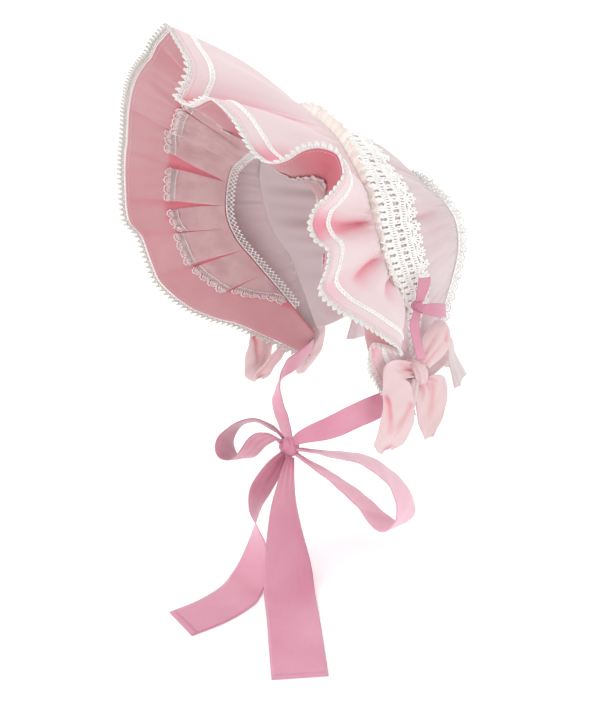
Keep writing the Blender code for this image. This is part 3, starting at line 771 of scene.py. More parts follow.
class Pen:
    """Draws the threads of one flat repeat of lace, in millimetres: along the edge, out, and height."""

    SIDES = 4       # each thread is a square bar, smoothly shaded, because a lace has thousands of them

    def __init__(self, bold: float = 1.0) -> None:
        """Start with no lines; `bold` thickens every thread."""
        self.bold = bold
        self.verts: list[tuple[float, ...]] = []
        self.faces: list[tuple[int, ...]] = []

    def line(self, points: Sequence[Sequence[float]], radius: float, closed: bool = False) -> "Pen":
        """Add a round thread.

        Args:
            points: Places that the thread passes, with or without a height.
            radius: Radius of the thread.
            closed: Whether it ends where it starts.

        Returns:
            The pen, so that calls can be chained.
        """
        path = np.array([(*p, 0.0)[:3] for p in points], float)
        ahead = unit(np.roll(path, -1, 0) - np.roll(path, 1, 0) if closed else np.gradient(path, axis=0))
        aside = unit(np.cross((0.0, 0.0, 1.0), ahead))
        above = np.cross(ahead, aside)
        start, count = len(self.verts), len(path)
        corners_at = 2 * np.pi * (np.arange(self.SIDES) + 0.5) / self.SIDES
        for k in range(count):
            for a in corners_at:
                out = np.cos(a) * aside[k] + np.sin(a) * above[k]
                self.verts.append(tuple(path[k] + self.bold * radius * out))
        for k in range(count if closed else count - 1):
            near, far = start + k * self.SIDES, start + (k + 1) % count * self.SIDES
            for j in range(self.SIDES):
                i = (j + 1) % self.SIDES
                self.faces.append((near + j, near + i, far + i, far + j))
        if not closed:
            self.faces.append(tuple(start + j for j in reversed(range(self.SIDES))))
            self.faces.append(tuple(start + (count - 1) * self.SIDES + j for j in range(self.SIDES)))
        return self

    def mirrored(self, points: Sequence[Sequence[float]], radius: float, pitch: float) -> "Pen":
        """Add a thread and its mirror image in the middle of a repeat."""
        return self.line(points, radius).line([(pitch - x, *rest) for x, *rest in points], radius)

    def ring(self, centre: tuple[float, float], across: float, thread: float, points: int = 6,
             tall: float = 1.0) -> "Pen":
        """Add a closed loop of thread about a centre; `tall` stretches it in Y."""
        turns = np.arange(points) * 2 * np.pi / points
        return self.line([(centre[0] + across * np.cos(a), centre[1] + across * tall * np.sin(a))
                          for a in turns], thread, True)

    def arc(self, centre: tuple[float, float], radius: float, start: float, end: float, thread: float,
            points: int = 5, tall: float = 1.0) -> "Pen":
        """Add an arc of thread; angles are in degrees and `tall` stretches it in Y."""
        turns = np.radians(np.linspace(start, end, points))
        return self.line([(centre[0] + radius * np.cos(a), centre[1] + radius * tall * np.sin(a))
                          for a in turns], thread)

    def shift(self, by: Point) -> None:
        """Move all the threads drawn so far."""
        self.verts = [tuple(a + b for a, b in zip(vert, by)) for vert in self.verts]

    def object(self, name: str) -> bpy.types.Object:
        """Object that holds the repeat."""
        mesh = bpy.data.meshes.new(name)
        mesh.from_pydata((np.array(self.verts) * MM).tolist(), [], self.faces)
        mesh.polygons.foreach_set("use_smooth", [True] * len(mesh.polygons))
        return link(name, mesh)


def cloth_map(graph: Graph) -> Socket:
    """Place on the flat cloth of each point of a guide or strip."""
    return graph.read("GeometryNodeInputNamedAttribute", {"Name": CLOTH_UV}, data_type="FLOAT_VECTOR")


def shape_of(graph: Graph, source: Socket) -> Socket:
    """Geometry of an object input."""
    return graph.node("GeometryNodeObjectInfo", {"Object": source}).outputs["Geometry"]


def read_guide(graph: Graph, guide: Socket, source: str, flat: Socket, at: Socket) -> Socket:
    """Read a guide at places of its flat map.

    Args:
        graph: Graph of the tree.
        guide: Geometry of the guide.
        source: Type of the node that gives what is read.
        flat: Map of the guide.
        at: Flat places.

    Returns:
        What the source says at each place.
    """
    sample = graph.node("GeometryNodeSampleUVSurface", data_type="FLOAT_VECTOR")
    value, found = (next(s for s in ends if s.name == "Value" and s.enabled)
                    for ends in (sample.inputs, sample.outputs))
    graph.put(guide, sample.inputs[0])
    graph.put(graph.read(source), value)
    graph.put(flat, next(s for s in sample.inputs if s.name in ("Source UV Map", "UV Map")))
    graph.put(at, sample.inputs["Sample UV"])
    return found


@kept_as("trim_on_guide")
def trim_tree(name: str) -> Tree:
    """Geometry Nodes tree that repeats a flat cell of lace and wraps it on a guide strip."""
    graph, given, result = new_group(
        name, "GeometryNodeTree",
        {"Geometry": ("Geometry", None), "Guide": ("Object", None), "Cell": ("Object", None),
         "Columns": ("Int", 1), "Pitch": ("Float", 0.005), "Stretch": ("Float", 1.0),
         "Unevenness": ("Float", 0.0), "Seed": ("Int", 1), "Material": ("Material", None)},
        {"Geometry": "Geometry"})
    places = graph.together(graph.math("MULTIPLY", graph.read("GeometryNodeInputIndex"), given["Pitch"]))
    repeats = graph.read("GeometryNodeInstanceOnPoints", {
        "Points": graph.read("GeometryNodePoints", {"Count": given["Columns"], "Position": places}),
        "Instance": shape_of(graph, given["Cell"]),
        "Scale": graph.together(given["Stretch"], 1.0, 1.0)})
    # each thread point is read back from the guide at its flat place, and keeps its height above it
    place = graph.read("GeometryNodeInputPosition")
    wobble = graph.node("ShaderNodeTexNoise", noise_dimensions="4D")
    graph.feed(wobble, {"Vector": place, "W": given["Seed"], "Scale": 160.0})
    uneven = graph.vector("SUBTRACT", wobble.outputs["Color"], (0.5, 0.5, 0.5))
    shifted = graph.vector("ADD", place, graph.vector("SCALE", uneven, given["Unevenness"]))
    guide, flat_map = shape_of(graph, given["Guide"]), cloth_map(graph)
    base, normal = (read_guide(graph, guide, source, flat_map, shifted)
                    for source in ("GeometryNodeInputPosition", "GeometryNodeInputNormal"))
    raised = graph.vector("ADD", base, graph.vector("SCALE", normal, graph.apart(place)[2]))
    wrapped = graph.moved(graph.realized(repeats), Position=raised)
    graph.feed(result, {"Geometry": graph.dressed(wrapped, given["Material"])})
    return graph.tree


@kept_as("gathered_strip")
def gather_tree(name: str) -> Tree:
    """Geometry Nodes tree that gathers a strip: folds grow from its sewn edge along the strip's normal."""
    graph, given, result = new_group(
        name, "GeometryNodeTree",
        {"Geometry": ("Geometry", None), "Fold Length": ("Float", 0.008), "Fold Depth": ("Float", 0.003),
         "Width": ("Float", 0.015), "Irregular": ("Float", 0.4), "Seed": ("Int", 1),
         "Material": ("Material", None)},
        {"Geometry": "Geometry"})
    distance, out_of_seam, _ = graph.apart(cloth_map(graph))
    along = graph.math("DIVIDE", distance, given["Fold Length"])
    noise = graph.node("ShaderNodeTexNoise", noise_dimensions="2D")
    graph.feed(noise, {"Vector": graph.together(along, given["Seed"]), "Scale": 0.7})
    slip = graph.math("MULTIPLY", graph.math("SUBTRACT", noise.outputs[0], 0.5), 6.0)
    turn = graph.math("ADD", along, graph.math("MULTIPLY", slip, given["Irregular"]))
    wave = graph.math("SINE", graph.math("MULTIPLY", turn, 2 * np.pi))
    out = graph.math("MINIMUM", graph.math("DIVIDE", out_of_seam, given["Width"]), 1.0)
    size = graph.math("MULTIPLY", given["Fold Depth"], graph.math("POWER", out, 0.7))
    offset = graph.vector("SCALE", graph.read("GeometryNodeInputNormal"), graph.math("MULTIPLY", wave, size))
    gathered = graph.realized(graph.moved(given["Geometry"], Offset=offset))
    graph.feed(result, {"Geometry": graph.dressed(gathered, given["Material"])})
    return graph.tree


def run_tree(host: bpy.types.Object, tree: Tree, values: Values) -> bpy.types.Object:
    """Run a Geometry Nodes tree on an object and keep its result as a plain mesh.

    Args:
        host: Object that the tree runs on; its mesh is replaced by the result.
        tree: The tree.
        values: Named inputs of the tree.

    Returns:
        The host with its new mesh and without the modifier.
    """
    sockets = {item.name: item.identifier for item in tree.interface.items_tree
               if getattr(item, "in_out", "") == "INPUT"}
    run = host.modifiers.new(tree.name, "NODES")
    run.node_group = tree
    for name, value in values.items():
        run[sockets[name]] = value
    depsgraph = bpy.context.evaluated_depsgraph_get()
    mesh = bpy.data.meshes.new_from_object(host.evaluated_get(depsgraph), preserve_all_data_layers=True,
                                           depsgraph=depsgraph)
    host.modifiers.remove(run)
    old, host.data = host.data, mesh
    bpy.data.meshes.remove(old)
    mesh.name = host.name
    return host


def extended(points: Grid, margin: float) -> Grid:
    """Grid with a border of the given width on each side, straight on from its edges."""
    for axis in (0, 1):
        p = np.moveaxis(points, axis, 0)
        first = p[:1] + unit(p[:1] - p[1:2]) * margin
        last = p[-1:] + unit(p[-1:] - p[-2:-1]) * margin
        points = np.moveaxis(np.concatenate([first, p, last]), 0, axis)
    return points


@dataclass
class Trim:
    """A repeat of lace and the strip of surface that it is sewn on."""

    name: str
    guide: Grid
    pen: Pen
    pitch: float
    width: float
    finish: Finish
    unevenness: float = 0.0
    seed: int = 3
    margin: float = 2.0

    def dressed(self, nodes: Sequence[str] = ()) -> bpy.types.Object:
        """Build the piece and publish it for the CAD nodes that it stands for."""
        return publish(self.build(), self.finish, nodes)

    def build(self) -> bpy.types.Object:
        """Wrap the repeat along the guide and return the piece."""
        middle = self.guide[:, self.guide.shape[1] // 2]
        length = np.linalg.norm(np.diff(middle, axis=0), axis=1).sum()
        columns = max(1, round(length / self.pitch))
        # the guide's map runs from -margin, so that threads at its edges still find it
        grid = extended(self.guide, self.margin)
        guide = grid_object("guide", grid, (length + 2 * self.margin, self.width + 2 * self.margin))
        layer = guide.data.uv_layers[CLOTH_UV].data
        flat = np.empty(len(layer) * 2, np.float32)
        layer.foreach_get("uv", flat)
        layer.foreach_set("uv", flat - self.margin * MM)
        cell = self.pen.object("cell")
        host = link(self.name, bpy.data.meshes.new(self.name))
        run_tree(host, trim_tree(), {
            "Guide": guide, "Cell": cell, "Columns": columns, "Pitch": length / columns * MM,
            "Stretch": length / columns / self.pitch, "Unevenness": self.unevenness * MM, "Seed": self.seed,
            "Material": self.finish.material()})
        for helper in (guide, cell):
            bpy.data.objects.remove(helper, do_unlink=True)
        return host


@dataclass
class Brim:
    """Ruffled brim: outer cloth, pleated lining, picot edging, braid, tulle overlay and hairline lace."""

    end_angle: float = 150.0
    left_columns: int = 340
    right_columns: int = 190
    rows: int = 52
    cloth: float = 0.8
    fullness: float = 10.5          # how far the smooth part swells between seam and rim
    gather: float = 1.1             # height of the gathers at the seam
    drape: float = 0.9              # height of the soft waves of the outer cloth
    pleat_height: float = 1.7
    pleat_edge: float = 0.9         # degrees over which a pleat steps up or down
    sag: float = 3.0                # how far the lining hangs in front of the outer cloth
    picot_pitch: float = 5.1
    picot_width: float = 8.6
    piping_radius: float = 1.25
    braid_inset: float = 17.0
    braid_width: float = 4.6
    braid_pitch: float = 3.4
    stitch_inset: float = 2.2
    stitch_pitch: float = 2.9
    overlay_reach: float = 45.0     # from the rim to the edge of the tulle
    overlay_lift: float = 1.3
    overlay_lace_pitch: float = 9.5
    overlay_lace_width: float = 12.0
    hairline_pitch: float = 4.4
    outer: Surface = field(init=False)
    inner: Surface = field(init=False)
    angles: np.ndarray = field(init=False)

    def __post_init__(self) -> None:
        """Work out both cloths."""
        left = np.linspace(0, self.end_angle, self.left_columns + 1)
        right = np.linspace(-self.end_angle, 0, self.right_columns, endpoint=False)
        self.angles = np.concatenate([right, left])
        outer, inner = Surface(self.outer_points()), Surface(self.inner_points())
        apart = outer.normals[:, -1:] * (WALL + LINING_GAP) / 2
        self.outer, self.inner = Surface(outer.points - apart), Surface(inner.points + apart)

    def outer_points(self) -> Grid:
        """Outer cloth from the seam to the rim: the ruffle grows from nothing and the seam is gathered."""
        share = np.linspace(0, 1, self.rows)
        (a0, r0, y0), (a1, r1, y1) = edge(SEAM, self.angles), rim(self.angles)
        full = np.maximum(0.15, 1 - abs(self.angles + 8) / 60)[:, None]
        swell = self.fullness * arch(share ** 0.9) * full
        for place, width, height, reach in FOLDS:
            run = arch(np.minimum(share / reach, 1) ** 0.7)
            away = self.angles - place
            # a sunk fold is crisp on its front side and soft behind
            crisp = min(0.0, height) * 0.6 * np.exp(np.where(away < 0, -(away / 1.1) ** 2, -away / 2.5))
            swell = swell + (height * bell(away, 0, width) + crisp)[:, None] * run
        pulls = ripple(self.angles[:, None] / 5.0, 5, (1.0, 1.61, 0.47))
        gather = self.gather * pulls * (1 - eased(share, 0.02, 0.3)) * eased(share, 0.0, 0.06)
        waves = ripple(self.angles[:, None] / 21.0 + 0.4 * share, 8, (1.0, 1.7))
        drape = self.drape * waves * arch(share)
        radius = lerp(r0, r1, share) + swell + gather + drape
        return turned(fanned(a0, a1, share), radius, lerp(y0, y1, share))

    def panels(self) -> tuple[np.ndarray, np.ndarray, np.ndarray]:
        """Number of the pleat at each column, the share of the way across it, and its width in degrees."""
        edges = np.array(PLEATS)[:, 0]
        panel = np.clip(np.searchsorted(edges, self.angles, side="right") - 1, 0, len(edges) - 2)
        width = edges[panel + 1] - edges[panel]
        return panel, (self.angles - edges[panel]) / width, width

    def inner_points(self) -> Grid:
        """Lining from the hairline to the rim, laid in flat box pleats."""
        share = np.linspace(0, 1, self.rows)
        (a0, r0, y0), (a1, r1, y1) = edge(HAIRLINE, self.angles), rim(self.angles)
        panel, within, width = self.panels()
        step = np.minimum(1.0, np.minimum(within, 1 - within) * width / self.pleat_edge)
        raised = np.where(panel % 2 == 1, -1.0, 1.0) * step * self.pleat_height + 1.1 * (within - 0.5)
        pleat = raised[:, None] * eased(share, 0.0, 0.12) * (1 - 0.8 * eased(share, 0.84, 1.0))
        soft = 0.8 * ripple(self.angles[:, None] / 13.0 + share, 12, (1.0, 1.9)) * arch(share)
        depth = lerp(y0, y1, share) - self.sag * arch(share)
        return turned(fanned(a0, a1, share), lerp(r0, r1, share) + pleat + soft, depth)

    def outer_shade(self) -> np.ndarray:
        """Depth of the outer cloth's folds as painted shade, with the valleys of the ruffle crisp in front
        and soft behind.
        """
        creases = self.outer.hollows(16, 7.0) ** 1.3
        share = np.linspace(0, 1, self.rows)
        for place, width, start, end, depth in SHADED_VALLEYS:
            run = eased(share, start, start + 0.15) * (1 - eased(share, end - 0.2, end))
            away = (self.angles - place) / width
            across = np.where(away < 0, np.exp(-(away / 0.45) ** 2), np.exp(-abs(away) ** 1.4))
            creases = creases + depth * across[:, None] * run
        return np.clip(creases, 0, 1)

    def inner_shade(self) -> np.ndarray:
        """Depth of the lining's folds as painted shade: deep above the overlay, and where the overlay stands
        open.
        """
        share = np.linspace(0, 1, self.rows)
        column = np.linspace(0, 1, len(self.angles))
        overlay = self.inner.from_rim(column, self.overlay_reach - 1)[:, None]
        deep = 1 - eased(share[None, :] - overlay, 0, 0.07)
        # painted shade on the lining left bare by the overlay, about 66 degrees
        open_shade = bell(self.angles, 66, 10)[:, None] * eased(share, 0.25, 0.5)
        return np.clip(0.82 * deep + 0.5 * self.inner.hollows(3, 1.6, -1.0) + 0.9 * open_shade, 0, 1)

    def build_cloths(self) -> None:
        """Outer cloth and lining."""
        outer = grid_object("brim_outer", self.outer.points, fold=self.outer_shade())
        publish(thicken(outer, self.cloth), BRIM_CLOTH, ["brim"])
        lining = grid_object("brim_lining_cloth", self.inner.points, fold=self.inner_shade())
        publish(thicken(lining, self.cloth), LINING_CLOTH, ["brim_lining"])

    def picot_cell(self) -> Pen:
        """Repeat of the picot edging: two cords with bars between, and a point that ends in a ring."""
        p = self.picot_pitch
        pen = Pen()
        pen.line([(0, 0.5, 0.2), (p / 2, 0.5, -0.2), (p, 0.5, 0.2)], 0.8)
        pen.line([(0, 2.9, -0.2), (p / 2, 2.9, 0.3), (p, 2.9, -0.2)], 0.85)
        pen.mirrored([(0.25 * p, 0.5), (0.25 * p, 2.9)], 0.5, p)
        pen.mirrored([(0.06 * p, 3.2), (0.27 * p, 4.8, 0.2), (0.45 * p, 7.0)], 0.8, p)
        pen.line([(0.5 * p, 3.2), (0.5 * p, 6.6)], 0.6)
        return pen.ring((0.5 * p, 7.6), 0.75, 0.5, 5)

    def build_edge_lace(self) -> None:
        """Picot edging along the rim, and the piping that closes the two cloths under it."""
        column = np.linspace(0, 1, 900)
        middle, back = ((self.outer.at(column, row) + self.inner.at(column, row)) / 2 for row in (1.0, 0.94))
        way = unit(middle - back)
        guide = np.stack([middle + way * (0.1 + s * self.picot_width) for s in (0.0, 0.5, 1.0)], 1)
        Trim("picot_edging", guide, self.picot_cell(), self.picot_pitch, self.picot_width, RIM_THREAD,
             unevenness=0.8).dressed(["brim_edge_lace"])
        seam = np.stack([middle + way * s for s in (-0.5, 0.2, 0.9)], 1)
        cord = Pen().line([(0, 0.7), (2.0, 0.7), (4.0, 0.7)], self.piping_radius)
        Trim("rim_piping", seam, cord, 4.0, 1.4, PIPING_THREAD, unevenness=0.2).dressed()

    def build_braid(self) -> None:
        """Narrow braid sewn on the outside, a little in from the rim."""
        half, p = self.braid_width / 2, self.braid_pitch
        guide = self.outer.strip(self.braid_inset - half, self.braid_inset + half, -1.2, (0.01, 0.985))
        pen = Pen()
        for y in (0.6, 4.2):
            pen.line([(0, y, -0.1), (p / 2, y, -0.4), (p, y, -0.1)], 0.75)
        pen.line([(0, 1.1), (0.5 * p, 3.7), (p, 1.1)], 0.55)
        pen.line([(0, 3.7, -0.3), (0.5 * p, 1.1, -0.3), (p, 3.7, -0.3)], 0.55)
        Trim("brim_braid_lace", guide, pen, p, self.braid_width, WHITE_THREAD,
             unevenness=0.3).dressed(["brim_braid"])

    def build_stitching(self) -> None:
        """Row of stitches just inside the rim, on the lining's side and on the outside."""
        pen = Pen().line([(0.3, 0.5), (1.2, 0.5, 0.18), (2.1, 0.5)], 0.2)
        near, far = self.stitch_inset, self.stitch_inset + 1.0
        for name, cloth, lift in (("rim_stitches_inner", self.inner, 0.5),
                                  ("rim_stitches_outer", self.outer, -0.5)):
            guide = cloth.strip(near, far, lift, (0.002, 0.998))
            Trim(name, guide, pen, self.stitch_pitch, far - near, PINK_THREAD).dressed()

    def build_tulle(self) -> None:
        """Sheer overlay of the lining: a gore for each pleat, open beside the raised ones, with lace."""
        where = np.linspace(0, 1, len(self.angles))
        side, out = np.linspace(0, 1, 26), np.linspace(0.0, 1, 15)
        pitch, width = self.overlay_lace_pitch, self.overlay_lace_width
        gores, laces = [], []
        for k in range(1, 15):
            (start, open_start), (end, open_end) = PLEATS[k:k + 2]
            if k % 2:
                open_start = open_end = 0.2
            reach = self.overlay_reach + 4.0 * float(ripple(np.array(k * 1.7), 6, (1.0,)))
            angle = lerp(start + open_start * out, end - open_end * out, side).T
            column = np.interp(angle, self.angles, where)
            edge_row = self.inner.from_rim(column[:, -1], reach)[:, None]
            crumple = 0.5 * ripple(angle / 6.0 + 2.0 * out, 14 + k, (1.0, 2.1))
            lift = self.overlay_lift + 0.7 * (crumple * arch(side)[:, None])
            gores.append(grid_object("gore", self.inner.at(column, edge_row * out, lift)))
            span = np.linspace(column[0, -1], column[-1, -1], 60)
            ruffle = 1.1 * ripple(span * 90, 9, (1.0, 1.6))
            rows = [self.inner.at(span, self.inner.from_rim(span, reach + d), h + q * ruffle)
                    for d, h, q in ((5.5, 1.6, 0.0), (0.0, 1.9, 0.3), (-5.5, 2.3, 0.7))]
            laces.append(Trim("lace", np.stack(rows, 1), scallop_cell(pitch, width, 1.25), pitch, width,
                              LINING_THREAD, unevenness=0.9, seed=k).build())
        tulle = merged("lining_tulle", gores)
        publish(tulle, TULLE)
        publish(merged("lining_lace", laces), LINING_THREAD, ["lining_frill"])

    def build_hairline(self) -> None:
        """Net lace that edges the face opening."""
        column = np.linspace(0.02, 0.9, 520)
        base = self.inner.at(column, 0 * column)
        way = unit(base - self.inner.at(column, 0 * column + 0.06))
        guide = np.stack([base + way * s for s in (0.8, 4.5, 8.2)], 1)
        p = self.hairline_pitch
        pen = Pen().line([(0, 0.4), (p, 0.4)], 0.35)
        for low, high, thread in ((0.4, 2.6, 0.3), (4.8, 2.6, 0.3), (4.8, 6.8, 0.36)):
            pen.line([(0, low), (0.5 * p, high), (p, low)], thread)
        pen.ring((0.5 * p, 7.2), 0.6, 0.28, 5)
        Trim("hairline_net", guide, pen, p, 7.4, WHITE_THREAD, unevenness=0.5).dressed(["hairline_lace"])

    def build(self) -> None:
        """Build every piece of the brim."""
        for build in (self.build_cloths, self.build_edge_lace, self.build_braid, self.build_stitching,
                      self.build_tulle, self.build_hairline):
            build()


def scallop_cell(p: float, w: float, bold: float = 1.0) -> Pen:
    """Repeat of a scalloped lace edging: net ground, scalloped hem with picots, and a leaf in each scallop.

    Args:
        p: Length of the repeat.
        w: Width of the edging.
        bold: How much every thread is thickened.

    Returns:
        The pen that drew it.
    """
    pen = Pen(bold).line([(0, 0.5), (p, 0.5)], 0.45)
    step, half = p / 4, p / 2
    for k in range(4):
        x = k * step
        for j in range(int((w - 6) / 3)):
            y = 0.5 + 3 * j
            pen.line([(x, y), (x + step / 2, y + 3), (x + step, y)], 0.26)
    for inset, base, rise, thread, points in ((0.0, 5.5, 5.0, 0.5, 9), (1.4, 6.6, 4.2, 0.36, 7)):
        pen.arc((half, w - base), half - inset, 180, 0, thread, points, tall=rise / (half - inset))
    for k in range(5):
        a = np.pi * (k + 0.5) / 5
        pen.ring((half + half * np.cos(a), w - 5.1 + 5.0 * np.sin(a)), 0.7, 0.3, 4)
    for a in np.radians((50, 90, 130)):
        pen.ring((half + 2.6 * np.cos(a), w - 7.4 + 2.6 * np.sin(a)), 0.8, 0.35, 5, tall=1.75)
    return pen


@dataclass
class Crown:
    """Gathered crown: side band, back panel, crochet lace, seam frill, back lace and nape curtain."""

    reach: float = 148.0
    columns: int = 340
    rows: int = 56
    cloth: float = 0.8
    tuck: float = 3.0               # how far the band starts in front of the seam
    drop: float = 2.4               # how far it starts inside the seam
    fold_height: float = 1.8
    gather: float = 0.9             # height of the gathers at the back seam
    back_middle: Point = (0.0, 92.0, 42.0)
    lace_pitch: float = 12.4
    lace_width: float = 35.0
    frill_row: float = 0.02352      # share of the band where the frill is sewn in
    frill_height: float = 12.0      # at the top of the bonnet
    frill_edge_pitch: float = 3.2
    back_lace_pitch: float = 8.6
    back_lace_width: float = 9.0
    surface: Surface = field(init=False)

    def __post_init__(self) -> None:
        """Work out the band of the crown."""
        self.surface = Surface(self.band_points())

    def band_points(self) -> Grid:
        """Band from just behind the brim's seam to the back seam, with soft folds and gathers."""
        angles = np.linspace(-self.reach, self.reach, self.columns + 1)
        share = np.linspace(0, 1, self.rows)
        (a0, r0, y0), (a1, r1, y1) = edge(SEAM, angles), edge(BACK_SEAM, angles)
        radius = lerp(r0, r1, share) - self.drop * (1 - share)
        puff = 10.0 + 4.0 * np.sin(np.radians(np.minimum(abs(angles), 120)) * 1.5)
        radius += arch(share ** 1.1) * (puff * (1 - 0.6 * abs(angles) / 150))[:, None]
        side = np.minimum(1.0, abs(angles) / 50)[:, None]
        radius += 2.2 * np.sin(np.radians(angles) * 7)[:, None] * arch(share) * side
        folds = ripple(angles[:, None] / 17.0 + 0.5 * share, 21, (1.0, 1.8, 0.6))
        radius += self.fold_height * folds * arch(share) * side
        pulls = ripple(angles[:, None] / 4.6, 22, (1.0, 1.5, 0.6))
        radius += self.gather * pulls * eased(share, 0.6, 0.97) * (1 - eased(share, 0.97, 1.0))
        return turned(lerp(a0, a1, share), radius, lerp(y0, y1, share) - self.tuck * (1 - share))

    def nape(self, share: np.ndarray) -> np.ndarray:
        """Points of the nape edge, from the wearer's left (share 0) round the neck to the right."""
        end = turned(self.reach, BACK_SEAM.read(1, self.reach), BACK_SEAM.read(2, self.reach))
        bow = arch(share)
        return np.stack([end[0] * (1 - 2 * share), end[1] + 16.0 * bow, end[2] - 4.0 * bow], -1)

    def build_band(self) -> None:
        """Side band of the crown."""
        angles, share = np.linspace(-self.reach, self.reach, self.columns + 1), np.linspace(0, 1, self.rows)
        # painted shade: deeper colour in the band's hollows, and a soft darker patch on its sides towards the
        # back
        side_shade = 0.35 * bell(abs(angles), 88, 22)[:, None] * bell(share, 0.72, 0.22)
        hollow = np.clip(self.surface.hollows(14, 3.0, -1.0) * 0.85 + side_shade, 0, 1)
        band = thicken(grid_object("crown_band", self.surface.points, fold=hollow), self.cloth)
        publish(band, CROWN_CLOTH, ["crown_side"])

    def build_back(self) -> None:
        """Back panel: rings that shrink from the seam and the nape edge to the middle of the back."""
        ring = np.concatenate([self.surface.points[::2, -1], self.nape(np.arange(1, 40) / 40)])
        middle = np.array(self.back_middle)
        share = np.linspace(1.0, 0.0, 45)
        turn = np.linspace(0, 1, len(ring), endpoint=False)
        pulls = ripple(turn * 34, 31, (1.0, 2.0, 3.0))
        grid = middle + (ring - middle)[:, None] * share[None, :, None]
        bulge = 1.15 + 15.0 * (1 - share ** 2)
        gathers = pulls[:, None] * (eased(share, 0.45, 0.9) * (1 - eased(share, 0.93, 1.0)))
        grid[..., 1] += bulge[None, :] + gathers
        panel = closed_pole(grid_object("crown_back_panel", grid[:, ::-1], closed=True))
        publish(thicken(panel, self.cloth), CROWN_CLOTH, ["crown_back"])

    def crochet_cell(self) -> Pen:
        """Repeat of the wide crochet lace: two rows of eyelets between close rows, and a fan with picots."""
        pen, p = Pen(1.22), self.lace_pitch
        half = p / 2
        cords = sewn, collar, waist, belt, hip, hem = -2.6, 1.4, 7.6, 11.4, 17.6, 21.4
        for y in cords:
            wave = [(k * p / 4, y + 0.25 * (k % 2), 0.2 - 0.3 * (k % 2)) for k in range(5)]
            pen.line(wave, 0.75 if y > collar else 0.6)
        for k in range(4):
            pen.arc(((k + 0.5) * p / 4, collar - 0.5), p / 8, 180, 360, 0.42, 4)
        for low, high, bar in ((collar, waist, 1.15), (belt, hip, 0.8)):
            for x in (0.25 * p, 0.75 * p):
                for s in (-1, 1):
                    out, bend = x + s * p / 4, x + s * p / 7
                    pen.line([(out, low), (bend, (low + high) / 2), (out, high)], bar)
                    for y, way in ((low, 1.1), (high, -1.1)):
                        pen.line([(x + s * 0.8, y), (x + s * 1.7, y + way)], 0.65)
        for low, high in ((sewn, collar), (waist, belt), (hip, hem)):
            for k in range(6):
                x = (k + 0.5) * p / 6
                pen.line([(x - 0.5, low), (x + 0.4, (low + high) / 2, 0.4), (x - 0.4, high)], 0.72)
        fan_width, fan_height, foot = 5.6, 7.2, hem + 0.2
        for a in np.radians((25, 57, 90, 123, 155)):
            x, y = np.cos(a) * fan_width, np.sin(a) * (fan_height + 0.2)
            pen.line([(half + 0.15 * x, foot + 0.1 * y), (half + 0.6 * x, foot + 0.6 * y, 0.3),
                      (half + x, foot + y)], 0.75)
            pen.ring((half + 1.13 * x, foot + 0.2 + 1.1 * y), 0.9, 0.5, 5)
        pen.arc((half, foot), fan_width, 12, 168, 0.62, 9, tall=fan_height / fan_width)
        pen.shift((0.0, 3.4, 0.0))
        return pen

    def build_crochet(self) -> None:
        """Crochet lace behind the brim's seam, drawn in towards its ends."""
        share = np.linspace(0.015, 0.985, 520)
        taper = np.minimum(1.0, 3.2 * np.minimum(share, 1 - share) + 0.55)
        lift = WALL / 2 + TRIM_WALL / 2 + 0.9
        # rows of the band as the solids have them, and their share of the way back
        solid_rows, shares = range(6), (0, 0.14, 0.34, 0.58, 0.82, 1.0)
        rows = [np.interp(0.55 + 2.2 * taper * q - 0.5 * (1 - q), solid_rows, shares)
                for q in (0.0, 0.25, 0.5, 0.75, 1.0)]
        guide = np.stack([self.surface.at(share, row, lift) for row in rows], 1)
        Trim("crochet_lace", guide, self.crochet_cell(), self.lace_pitch, self.lace_width, WHITE_THREAD,
             unevenness=1.3).dressed(["crown_lace"])

    def build_frill(self) -> None:
        """Cream frill that stands up out of the seam, gathered by its own node tree, with a picot edge."""
        k = np.linspace(0, 1, 900)
        column, row = 0.07 + 0.86 * k, self.frill_row
        base = self.surface.at(column, row)
        out = self.surface.at(column, row, 1.0) - base
        low = (np.maximum(0.0, abs(2 * k - 1) - 0.28) / 0.72) ** 0.7      # tall only at the top
        height = (self.frill_height * (1 - 0.68 * low) + 1.0 * ripple(k * 40, 41, (1.0, 1.7)))[:, None]
        lean = np.stack([0 * k, 1.5 - 2.5 * low, 0 * k], 1)
        share = np.linspace(0, 1, 9)
        grid = (base + out * 1.4)[:, None] + share[None, :, None] * (out * height + lean)[:, None]
        frill = grid_object("seam_frill_net", grid)
        run_tree(frill, gather_tree(), {
            "Fold Length": 0.0085, "Fold Depth": 0.0026, "Width": 0.014, "Irregular": 0.3, "Seed": 6,
            "Material": CREAM_NET.material()})
        places = np.empty(len(frill.data.vertices) * 3)
        frill.data.vertices.foreach_get("co", places)
        crest = places.reshape(grid.shape)[:, -3:] / MM
        publish(frill, CREAM_NET, ["seam_frill"])
        self.build_frill_edge(crest[:, -1], unit(crest[:, -1] - crest[:, 0]))

    def build_frill_edge(self, top: np.ndarray, way: np.ndarray) -> None:
        """Picot edge of the seam frill, along its top and on in the way that it stands."""
        p = self.frill_edge_pitch
        pen = Pen(1.35).line([(0, 0.4), (p, 0.4)], 0.42).line([(0, 0.4), (0.5 * p, 2.2), (p, 0.4)], 0.45)
        pen.ring((0.5 * p, 2.7), 0.6, 0.32, 4)
        guide = np.stack([top + way * s for s in (-0.6, 0.5, 1.6)], 1)
        Trim("seam_frill_edge", guide, pen, p, 3.0, CREAM_THREAD, margin=1.0).dressed()

